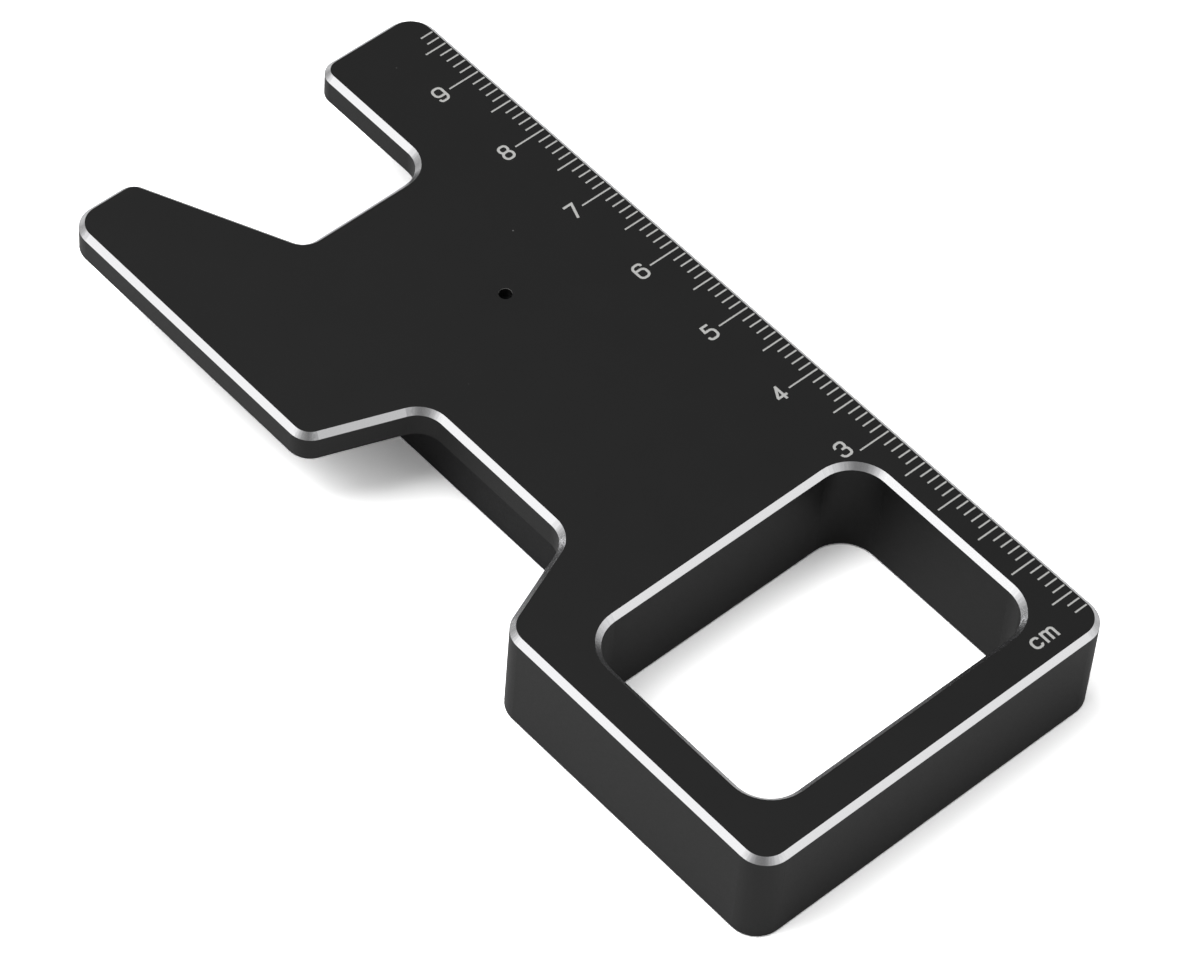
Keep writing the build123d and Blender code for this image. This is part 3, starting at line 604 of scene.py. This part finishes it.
def piece(
    name: str, grids: np.ndarray, finish: Finish, stands_for: str = "", body: Body = Body.GAUGE
) -> bpy.types.Object:
    """Makes a finished piece from closed grids of points.

    Args:
        name: The piece's name.
        grids: Points in mm, copies by rows by columns by 3, or one grid.
        finish: Its surface finish.
        stands_for: The CAD node that it replaces, if any.
        body: The body that it rides on.

    Returns:
        The new object, with its seams and poles welded and its faces outward.
    """
    grids = grids[None] if grids.ndim == 3 else grids
    copies, rows, columns = grids.shape[:3]
    mesh = bpy.data.meshes.new(name)
    mesh.from_pydata((grids.reshape(-1, 3) * MM).tolist(), [], grid_faces(copies, rows, columns).tolist())
    welded = bmesh.new()
    welded.from_mesh(mesh)
    bmesh.ops.remove_doubles(welded, verts=welded.verts, dist=WELD_MM * MM)
    bmesh.ops.recalc_face_normals(welded, faces=welded.faces)
    welded.to_mesh(mesh)
    welded.free()
    mesh.polygons.foreach_set("use_smooth", np.ones(len(mesh.polygons), bool))
    mesh.set_sharp_from_angle(angle=math.radians(SMOOTH_BELOW_DEG))
    mesh.materials.append(material_of(finish))
    made = bpy.data.objects.new(name, mesh)
    bpy.context.scene.collection.objects.link(made)
    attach(made, body.value)
    if stands_for:
        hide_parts(stands_for)
    LOG.info("%s: %d faces on %s, %s", name, len(mesh.polygons), body.value, finish.name)
    return made


def dress_node(node: str, finish: Finish) -> None:
    """Gives a CAD node its finish.

    Args:
        node: The node's name.
        finish: Its surface finish.
    """
    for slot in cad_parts[node].material_slots:
        slot.material = material_of(finish)
    LOG.info("%s: CAD node, %s", node, finish.name)


def box_mm(node: str) -> np.ndarray:
    """Measures a CAD node.

    Args:
        node: The node's name.

    Returns:
        Its lowest and highest corner, 2 by 3, in mm.
    """
    return np.array(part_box(node)) / MM


def solid_boxes(node: str) -> tuple[np.ndarray, np.ndarray]:
    """Measures the separate solids of a CAD node: points joined by edges share the lowest number among them.

    Args:
        node: The node's name.

    Returns:
        The lowest and the highest corners in mm, each n by 3, in order of place.
    """
    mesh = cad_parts[node].data
    spots = np.empty(3 * len(mesh.vertices))
    mesh.vertices.foreach_get("co", spots)
    spots = spots.reshape(-1, 3) / MM
    ends = np.empty(2 * len(mesh.edges), int)
    mesh.edges.foreach_get("vertices", ends)
    same = np.unique(spots.round(SAME_SPOT_DIGITS), axis=0, return_inverse=True)[1].ravel()
    ends = same[ends].reshape(-1, 2)
    solid = np.arange(same.max() + 1)
    before = np.zeros_like(solid)
    while (before != solid).any():
        before = solid.copy()
        lowest = solid[ends].min(1)
        np.minimum.at(solid, ends[:, 0], lowest)
        np.minimum.at(solid, ends[:, 1], lowest)
        solid = solid[solid]
    owner = solid[same]
    boxes = [(spots[owner == one].min(0), spots[owner == one].max(0)) for one in np.unique(owner)]
    boxes.sort(key=lambda pair: tuple(pair[0].round(SORT_DIGITS)))
    return np.array([low for low, _ in boxes]), np.array([high for _, high in boxes])


# ---- sub-assemblies ----
@dataclass(frozen=True)
class GaugeFrame:
    """The machined plate and foot, and the light pipe in its small hole."""

    def build(self) -> None:
        """Dresses the plate and the light pipe."""
        dress_node("gauge_frame", ANODISED)
        dress_node("light_pipe", ACRYLIC)


@dataclass(frozen=True)
class Screw:
    """One size of cross-head screw, wherever its CAD node has one, head down.

    Its profile gives the head as (radius, height above its face) rows. The thread is a ramp in height over
    pitch minus turn, so it winds up the shank. Its depth is a share of the pitch, and the ramp is made steeper
    than it needs to be and then cut off, which leaves a flat root.
    """

    name: str
    node: str
    finish: Finish
    slot: str
    profile: tuple[tuple[float, float], ...]
    crest: float
    pitch: float
    cross_reach: float
    cross_depth: float = 0.45
    cross_half_width: float = 0.2
    cross_slope: float = 0.14
    thread_depth: float = 0.61
    flank_steepness: float = 1.2
    columns: int = 48
    face_rows: int = 22
    rows_per_turn: int = 6

    def build(self) -> None:
        """Makes the screws in place of their node."""
        low, high = solid_boxes(self.node)
        grid = self.grid(high[0, 2] - low[0, 2])
        foot = np.stack(((low[:, 0] + high[:, 0]) / 2, (low[:, 1] + high[:, 1]) / 2, low[:, 2]), axis=-1)
        piece(self.name, grid + foot[:, None, None], self.finish, self.node)

    def grid(self, length: float) -> np.ndarray:
        """One screw about its own axis: recessed face, head, threaded shank and tip.

        Args:
            length: From the head's face to the tip, in mm.

        Returns:
            A grid of points, rows by columns by 3, in mm.
        """
        turn = np.linspace(0, 2 * np.pi, self.columns, endpoint=False)
        face = np.linspace(0, self.profile[0][0], self.face_rows)[:, None] * np.ones(self.columns)
        x, y = np.abs(face * np.cos(turn)), np.abs(face * np.sin(turn))
        sunk = self.cross_depth * (
            np.clip((self.cross_half_width - np.minimum(x, y)) / self.cross_slope + 0.5, 0, 1)
            * np.clip((self.cross_reach - np.maximum(x, y)) / self.cross_slope + 0.5, 0, 1)
        )
        head = np.array(self.profile)[:, :, None] * np.ones(self.columns)
        start, stop = self.profile[-1][1] + self.pitch, length - self.pitch / 2
        climb = np.arange(start, stop, self.pitch / self.rows_per_turn)[:, None] * np.ones(self.columns)
        ramp = np.abs(2 * ((climb / self.pitch - turn / (2 * np.pi)) % 1) - 1)
        depth = self.thread_depth * self.pitch * np.clip((climb - start) / self.pitch, 0, 1)
        shank = self.crest - depth * np.clip(self.flank_steepness * ramp, 0, 1)
        core = self.crest - self.thread_depth * self.pitch
        radius = np.vstack((face, head[:, 0], shank, np.full(self.columns, core), np.zeros(self.columns)))
        height = np.vstack((sunk, head[:, 1], climb, np.full((2, self.columns), length)))
        return np.stack((radius * np.cos(turn), radius * np.sin(turn), height), axis=-1)


@dataclass(frozen=True)
class RearHousing:
    """The plastic box under the plate with its screws."""

    screws: Screw = Screw(
        "threaded_housing_screws", "housing_screws", BLACK_OXIDE, "black_steel",
        ((1.88, 0.0), (1.9, 0.03), (1.0, 1.1)), crest=1.0, pitch=0.4, cross_reach=1.14,
    )

    def build(self) -> None:
        """Dresses the housing and makes its screws."""
        dress_node("rear_housing", MOULDED_ABS)
        self.screws.build()


@dataclass(frozen=True)
class BatteryBay:
    """The cap, its seal, the cell and the two contacts."""

    columns: int = 96
    edge: float = 0.4
    lip: float = 0.25
    crimp: float = 0.35
    lid_height: float = 0.25
    gasket_outer: float = 9.3
    gasket_inner: float = 8.82
    gap: float = 0.02
    sunk: float = 0.6
    groove: float = 0.06
    round_points: int = 6
    lid_steps: tuple[tuple[float, float], ...] = ((0.0, 0.0), (0.15, 0.1), (0.35, 0.22))
    lid_flat_inset: float = 0.5

    def build(self) -> None:
        """Dresses the bay and makes the cell as can, gasket and lid."""
        dress_node("battery_cap", MOULDED_ABS)
        dress_node("cap_seal", NITRILE)
        dress_node("negative_contact", SPRING_STRIP)
        dress_node("positive_contact", SPRING_STRIP)
        low, high = box_mm("coin_cell")
        centre, radius = (low + high)[:2] / 2, (high - low)[0] / 2
        shoulder = high[2] - self.lid_height
        for name, rows, finish, slot in (
            ("cell_can", self.can(radius, low[2], shoulder), CELL_STEEL, "cell_steel"),
            ("cell_gasket", self.gasket(shoulder), GASKET, "plunger_plastic"),
            ("cell_lid", self.lid(shoulder, high[2]), CELL_STEEL, "cell_steel"),
        ):
            piece(name, lathe(rows, tuple(centre), self.columns), finish, "coin_cell")

    def can(self, radius: float, low: float, shoulder: float) -> np.ndarray:
        """Draws the can: a grooved bottom, a quarter round, the wall, a crimped shoulder and the well.

        Args:
            radius: The can's radius in mm.
            low: Height of its bottom.
            shoulder: Height of its shoulder.

        Returns:
            Rows of radius and height in mm.
        """
        quarter = np.linspace(0, np.pi / 2, self.round_points)
        round_out = np.stack((
            radius - self.edge + self.edge * np.sin(quarter), low + self.edge - self.edge * np.cos(quarter)
        ), axis=-1)
        crimp = np.stack((
            radius - self.crimp + self.crimp * np.cos(quarter),
            shoulder - self.crimp + self.crimp * np.sin(quarter),
        ), axis=-1)
        ring, well = radius - 2 * self.edge, shoulder - self.sunk
        return np.vstack((
            [(0, low), (ring - self.lip, low), (ring - self.lip / 2, low + self.groove), (ring, low)],
            round_out, crimp,
            [(self.gasket_outer, shoulder), (self.gasket_outer, well), (0, well)],
        ))

    def gasket(self, shoulder: float) -> np.ndarray:
        """Draws the gasket: a ring between can and lid, its top a little low.

        Args:
            shoulder: Height of the can's shoulder.

        Returns:
            Rows of radius and height in mm.
        """
        inner, outer = self.gasket_inner, self.gasket_outer - self.gap
        low, high = shoulder - self.sunk + self.gap, shoulder - 2 * self.gap
        return np.array([(inner, low), (outer, low), (outer, high), (inner, high), (inner, low)])

    def lid(self, shoulder: float, top: float) -> np.ndarray:
        """Draws the lid: a disc with a stepped, sloping rim.

        Args:
            shoulder: Height of the can's shoulder.
            top: Height of the lid's face.

        Returns:
            Rows of radius and height in mm.
        """
        rim, low = self.gasket_inner - self.gap, shoulder - self.sunk + self.gap
        steps = [(rim - inset, shoulder + rise) for inset, rise in self.lid_steps]
        return np.array([(0, low), (rim, low), *steps, (rim - self.lid_flat_inset, top), (0, top)])


@dataclass(frozen=True)
class PowerSwitch:
    """The thumb button and the tactile switch above it."""

    leg_y: float = 1.5
    leg_half_width: float = 0.35
    leg_half_thickness: float = 0.07
    leg_steps: tuple[tuple[float, float], ...] = (
        (-0.1, 0.75), (0.3, 0.75), (0.42, 0.6), (0.42, 0.2), (0.55, 0.08), (0.95, 0.08),
    )
    disc_thickness: float = 0.08
    disc_rows: int = 12
    disc_columns: int = 64
    disc_kept: float = 0.42

    def build(self) -> None:
        """Dresses the button and the switch, and makes the switch's disc and legs."""
        dress_node("power_button", BUTTON_PLASTIC)
        dress_node("switch_plunger", NYLON)
        dress_node("switch_body", CHIP_EPOXY)
        self.sprung_disc()
        self.legs()

    def sprung_disc(self) -> None:
        """Makes the sprung disc, a thin cap of a sphere at rest, on a mesh of its own."""
        low, high = box_mm("switch_dome")
        centre, rim = (low + high)[:2] / 2, (high - low)[0] / 2
        rise = high[2] - low[2] - self.disc_thickness
        ball = (rim ** 2 + rise ** 2) / (2 * rise)
        rows = []
        for radius in (ball, ball - self.disc_thickness):
            lean = np.linspace(0, math.asin(rim / radius), self.disc_rows)
            rows.append(np.stack((radius * np.sin(lean), low[2] + ball - radius * np.cos(lean)), axis=-1))
        profile = np.vstack((rows[0], rows[1][::-1]))
        grid = lathe(profile, tuple(centre), self.disc_columns)
        disc = piece("sprung_disc", grid, SPRING_STRIP, "switch_dome")
        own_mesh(disc)

    def legs(self) -> None:
        """Makes the switch's four bent legs."""
        low, high = box_mm("switch_body")
        middle = (low + high) / 2
        out, down = np.array(self.leg_steps).T
        paths = np.array([
            np.stack((
                middle[0] + side * ((high - low)[0] / 2 + out),
                np.full(out.size, middle[1] + place),
                high[2] - down,
            ), axis=-1)
            for side in (-1, 1) for place in (-self.leg_y, self.leg_y)
        ])
        across = np.tile((0.0, 1.0, 0.0), (len(paths), 1))
        legs = ribbons(paths, across, self.leg_half_width, self.leg_half_thickness)
        piece("switch_legs", legs, ZINC)


@dataclass(frozen=True)
class CircuitBoard:
    """The board, its screws and what is soldered to it."""

    screws: Screw = Screw(
        "threaded_board_screws", "board_screws", ZINC, "plated_steel",
        ((1.2, 0.0), (1.34, 0.05), (1.45, 0.16), (1.5, 0.3), (1.5, 0.79), (0.8, 0.8)),
        crest=0.8, pitch=0.35, cross_reach=0.9,
    )
    terminal_share: float = 0.2
    terminal_proud: float = 0.04
    edge: float = 0.05
    crystal_base_share: float = 0.42
    crystal_inset: float = 0.14
    pads_per_side: int = 12
    pad_pitch: float = 0.4
    pad_size: tuple[float, float, float] = (0.22, 0.34, 0.2)
    pad_proud: float = 0.05
    antenna_end: float = 0.5
    antenna_wrap: float = 0.02
    regulator_leg_reach: float = 0.6
    regulator_stand: float = 0.1
    regulator_pitch: float = 0.95
    regulator_leg_half_width: float = 0.19
    regulator_leg_half_thickness: float = 0.05
    regulator_leg_steps: tuple[tuple[float, float], ...] = (
        (-0.1, 0.6), (0.12, 0.6), (0.22, 0.5), (0.28, 0.15), (0.38, 0.05), (0.6, 0.05),
    )
    led_base_height: float = 0.25
    led_end: float = 0.3
    led_end_proud: tuple[float, float, float] = (0.01, 0.01, 0.02)

    def build(self) -> None:
        """Dresses the board and makes its screws and small parts."""
        dress_node("circuit_board", SOLDER_MASK)
        dress_node("tilt_sensor", CHIP_EPOXY)
        dress_node("radio_chip", CHIP_EPOXY)
        dress_node("chip_antenna", ALUMINA)
        self.screws.build()
        self.two_ended("ceramic_capacitors", "capacitor", TITANATE)
        self.two_ended("chip_resistors", "resistor", OVERGLAZE)
        self.crystals()
        self.radio_pads()
        self.antenna_ends()
        self.regulator()
        self.led()

    def two_ended(self, node: str, kind: str, finish: Finish) -> None:
        """Makes a row of chips as bodies with a tinned cap at each end.

        Args:
            node: The CAD node that they replace.
            kind: What they are called.
            finish: Finish of the bodies.
        """
        low, high = solid_boxes(node)
        size = high - low
        along = np.eye(3)[(size[:, 1] > size[:, 0]).astype(int)]
        length = (size * along).sum(1, keepdims=True)
        inset = along * (self.terminal_share * length - self.edge) + (1 - along) * self.terminal_proud
        piece(f"{kind}_bodies", rounded_boxes(low + inset, high - inset, self.edge / 2), finish, node)
        shift = along * length * (1 - self.terminal_share)
        ends = rounded_boxes(np.vstack((low, low + shift)), np.vstack((high - shift, high)), self.edge)
        piece(f"{kind}_ends", ends, SOLDER, node)

    def crystals(self) -> None:
        """Makes the crystals: a ceramic base with a narrower metal lid on it."""
        low, high = solid_boxes("clock_crystals")
        rise = (high - low) * (0, 0, 1)
        base_top = high - rise * (1 - self.crystal_base_share)
        inset = np.array((self.crystal_inset, self.crystal_inset, 0))
        bases = rounded_boxes(low, base_top, self.edge)
        piece("crystal_bases", bases, CHIP_EPOXY, "clock_crystals")
        lids = rounded_boxes(low + inset + rise * self.crystal_base_share, high - inset, 2 * self.edge)
        piece("crystal_lids", lids, ZINC, "clock_crystals")

    def radio_pads(self) -> None:
        """Makes the radio chip's soldered pads, a row along each side."""
        low, high = box_mm("radio_chip")
        middle, half = (low + high) / 2, (high - low)[0] / 2
        step = (np.arange(self.pads_per_side) - (self.pads_per_side - 1) / 2) * self.pad_pitch
        width, depth, height = self.pad_size
        inner = half + self.pad_proud - depth
        corners = np.array([
            (place, side * (inner + depth / 2)) for side in (-1, 1) for place in step
        ])
        places = np.vstack((corners, corners[:, ::-1]))
        upright = np.repeat(((width, depth), (depth, width)), len(corners), axis=0)
        floor = np.full((len(places), 1), low[2])
        first = np.hstack((middle[:2] + places - upright / 2, floor))
        last = np.hstack((middle[:2] + places + upright / 2, floor + height))
        piece("radio_pads", rounded_boxes(first, last, self.edge / 2), SOLDER)

    def antenna_ends(self) -> None:
        """Makes the two metal ends of the antenna, wrapped round it."""
        low, high = box_mm("chip_antenna")
        end = np.array((0, self.antenna_end, 0))
        wrap = np.full(3, self.antenna_wrap)
        far = (high - low) * (0, 1, 0)
        lows = np.array((low - wrap, low + far - end - wrap))
        highs = np.array((high - far + end + wrap, high + wrap)) - (0, 0, wrap[2])
        piece("antenna_ends", rounded_boxes(lows, highs, self.edge / 2), SOLDER)

    def regulator(self) -> None:
        """Makes the regulator: a moulded body with bent legs down to the board."""
        low, high = box_mm("voltage_regulator")
        inset = np.array((0, self.regulator_leg_reach, 0))
        foot = low + inset + (0, 0, self.regulator_stand)
        body = rounded_boxes(foot[None], (high - inset)[None], self.edge)
        piece("regulator_body", body, CHIP_EPOXY, "voltage_regulator")
        middle = (low + high) / 2
        out, rise = np.array(self.regulator_leg_steps).T
        half = (high - low)[1] / 2 - self.regulator_leg_reach
        paths = np.array([
            np.stack((
                np.full(out.size, middle[0] + place * self.regulator_pitch),
                middle[1] + side * (half + out),
                low[2] + rise,
            ), axis=-1)
            for side, places in ((-1, (-1, 0, 1)), (1, (-1, 1))) for place in places
        ])
        across = np.tile((1.0, 0.0, 0.0), (len(paths), 1))
        legs = ribbons(paths, across, self.regulator_leg_half_width, self.regulator_leg_half_thickness)
        piece("regulator_legs", legs, ZINC, "voltage_regulator")

    def led(self) -> None:
        """Makes the status light: a white base with gilt ends and a block of resin on it."""
        low, high = box_mm("status_led")
        base_top, end = low[2] + self.led_base_height, self.led_end
        base_high = np.array((high[0], high[1], base_top))
        base = rounded_boxes(low[None], base_high[None], self.edge / 2)
        piece("led_base", base, ALUMINA, "status_led")
        block_low, block_high = np.array((low[0] + end, low[1], base_top)), high - (end, 0, 0)
        block = rounded_boxes(block_low[None], block_high[None], self.edge)
        piece("led_resin", block, LED_RESIN, "status_led")
        proud = np.array(self.led_end_proud)
        lows = np.array((low, (high[0] - end, low[1], low[2]))) - proud * (1, 1, 0)
        highs = np.array(((low[0] + end, high[1], base_top), base_high)) + proud
        piece("led_ends", rounded_boxes(lows, highs, proud[2]), PAD_GOLD, "status_led")


# ---- studio ----
@dataclass(frozen=True)
class Camera:
    """The camera of the photograph, a long lens above the left of the foot."""

    target_mm: tuple[float, float, float] = (-3.784, 0.195, 6.0)
    distance_mm: float = 542.62
    azimuth_deg: float = 224.067
    elevation_deg: float = 51.435
    roll_deg: float = 5.188
    focal_px: float = 5631.44
    photo_width_px: float = 1200.0
    sensor_mm: float = 36.0
    near_clip_m: float = 0.01

    def build(self) -> None:
        """Makes the camera and hands it to the scene."""
        azimuth, elevation = math.radians(self.azimuth_deg), math.radians(self.elevation_deg)
        back = Vector((
            math.sin(azimuth) * math.cos(elevation),
            -math.cos(azimuth) * math.cos(elevation),
            math.sin(elevation),
        ))
        data = bpy.data.cameras.new("photo_camera")
        data.sensor_width = self.sensor_mm
        data.lens = self.focal_px * self.sensor_mm / self.photo_width_px
        made = bpy.data.objects.new("photo_camera", data)
        turn = (-back).to_track_quat("-Z", "Y").to_matrix().to_4x4()
        roll = Matrix.Rotation(math.radians(self.roll_deg), 4, "Z")
        place = (Vector(self.target_mm) + self.distance_mm * back) * MM
        made.matrix_world = Matrix.Translation(place) @ turn @ roll
        data.clip_start = self.near_clip_m
        bpy.context.scene.collection.objects.link(made)
        bpy.context.scene.camera = made
        LOG.info("camera: lens %.1f mm", data.lens)


@dataclass(frozen=True)
class Glow:
    """A soft bright patch of the room, or a dim one: its direction, strength and how tightly it is gathered."""

    direction: tuple[float, float, float]
    strength: float
    gathering: float


@dataclass(frozen=True)
class Studio:
    """Plain pale floor and soft studio light.

    The floor's three levels are how much light it gives back: to the object, to the camera, and in what the object
    mirrors.
    """

    floor_half: float = 1.5
    floor_level: float = 0.78
    floor_seen: float = 2.8
    floor_mirrored: float = 0.64
    floor_drop_mm: float = 0.1
    room_level: float = 0.25
    glows: tuple[Glow, ...] = (
        Glow((0.434, 0.782, 0.448), 0.87, 9.0),
        Glow((-0.782, -0.448, 0.434), 0.62, 3.5),
        Glow((0.25, -0.3, -0.92), 0.35, 3.0),
        Glow((-0.56, 0.55, 0.62), -0.14, 9.0),
    )
    lamp_place: tuple[float, float, float] = (0.32, 0.3, 0.92)
    lamp_size: float = 0.75
    lamp_power: float = 6.6
    under_lamp_place: tuple[float, float, float] = (0.24, -0.28, -0.98)
    under_lamp_size: float = 0.4
    under_lamp_power: float = 10.0

    def build(self) -> None:
        """Builds the room's light, the lamps and the floor."""
        self.room()
        self.lamp("overhead_lamp", self.lamp_place, self.lamp_power, self.lamp_size)
        self.lamp("under_floor_lamp", self.under_lamp_place, self.under_lamp_power, self.under_lamp_size)
        self.floor()

    def room(self) -> None:
        """Lights the scene from all round, with three brighter patches and a dim one, before a white background.

        A patch's light is its strength times a power of the cosine between its direction and the one looked in.
        """
        world = bpy.data.worlds.new("room")
        bpy.context.scene.world = world
        world.use_nodes = True
        tree = world.node_tree
        tree.nodes.clear()
        place = add_node(tree, "ShaderNodeTexCoord")
        level = self.room_level
        for glow in self.glows:
            facing = add_node(tree, "ShaderNodeVectorMath", {
                0: place.outputs["Generated"], 1: Vector(glow.direction).normalized(),
            }, operation="DOT_PRODUCT")
            front = reckon(tree, "MAXIMUM", facing.outputs["Value"], 0.0)
            soft = reckon(tree, "POWER", front, glow.gathering)
            level = reckon(tree, "MULTIPLY_ADD", soft, glow.strength, level)
        path = add_node(tree, "ShaderNodeLightPath")
        seen = between(tree, path.outputs["Is Camera Ray"], level, 1.0)
        light = add_node(tree, "ShaderNodeBackground", {"Color": linear("ffffff"), "Strength": seen})
        add_node(tree, "ShaderNodeOutputWorld", {"Surface": light.outputs[0]})

    def lamp(self, name: str, place: tuple[float, float, float], power: float, size: float) -> None:
        """Hangs a square soft lamp that points at the gauge.

        Args:
            name: The lamp's name.
            place: Where it hangs, in metres.
            power: Its power in watts.
            size: Its side in metres.
        """
        data = bpy.data.lights.new(name, "AREA")
        data.size = size
        data.energy = power
        made = bpy.data.objects.new(name, data)
        made.location = place
        made.rotation_euler = (-Vector(place)).to_track_quat("-Z", "Y").to_euler()
        made.visible_camera = False
        bpy.context.scene.collection.objects.link(made)

    def floor(self) -> None:
        """Lays the floor: pale, white to the camera, and open to a camera and a lamp below it.

        It lies a hair below the gauge, so that the two faces don't show through each other from below.
        """
        half, low = self.floor_half, -self.floor_drop_mm * MM
        mesh = bpy.data.meshes.new("floor")
        mesh.from_pydata(
            [(-half, -half, low), (half, -half, low), (half, half, low), (-half, half, low)], [], [(0, 1, 2, 3)]
        )
        made = bpy.data.objects.new("floor", mesh)
        bpy.context.scene.collection.objects.link(made)
        material = bpy.data.materials.new("pale_floor")
        material.use_nodes = True
        tree = material.node_tree
        tree.nodes.clear()
        path = add_node(tree, "ShaderNodeLightPath")
        sides = add_node(tree, "ShaderNodeNewGeometry")
        mirrored = reckon(tree, "MAXIMUM", path.outputs["Is Glossy Ray"], path.outputs["Is Transmission Ray"])
        to_object = between(tree, mirrored, self.floor_level, self.floor_mirrored)
        tone = between(tree, path.outputs["Is Camera Ray"], to_object, self.floor_seen)
        paper = add_node(tree, "ShaderNodeBsdfDiffuse", {"Color": tone})
        clear = add_node(tree, "ShaderNodeBsdfTransparent")
        open_below = reckon(tree, "MAXIMUM", sides.outputs["Backfacing"], path.outputs["Is Shadow Ray"])
        whole = add_node(tree, "ShaderNodeMixShader", {0: open_below, 1: paper.outputs[0], 2: clear.outputs[0]})
        add_node(tree, "ShaderNodeOutputMaterial", {"Surface": whole.outputs[0]})
        mesh.materials.append(material)


def main() -> None:
    """Builds every sub-assembly in order, then the studio."""
    logging.basicConfig(level=logging.INFO, format="%(message)s")
    bpy.context.scene.view_settings.view_transform = "Standard"
    Camera().build()
    for assembly in (GaugeFrame(), RearHousing(), BatteryBay(), PowerSwitch(), CircuitBoard()):
        assembly.build()
    Studio().build()


if __name__ == "__main__":
    main()
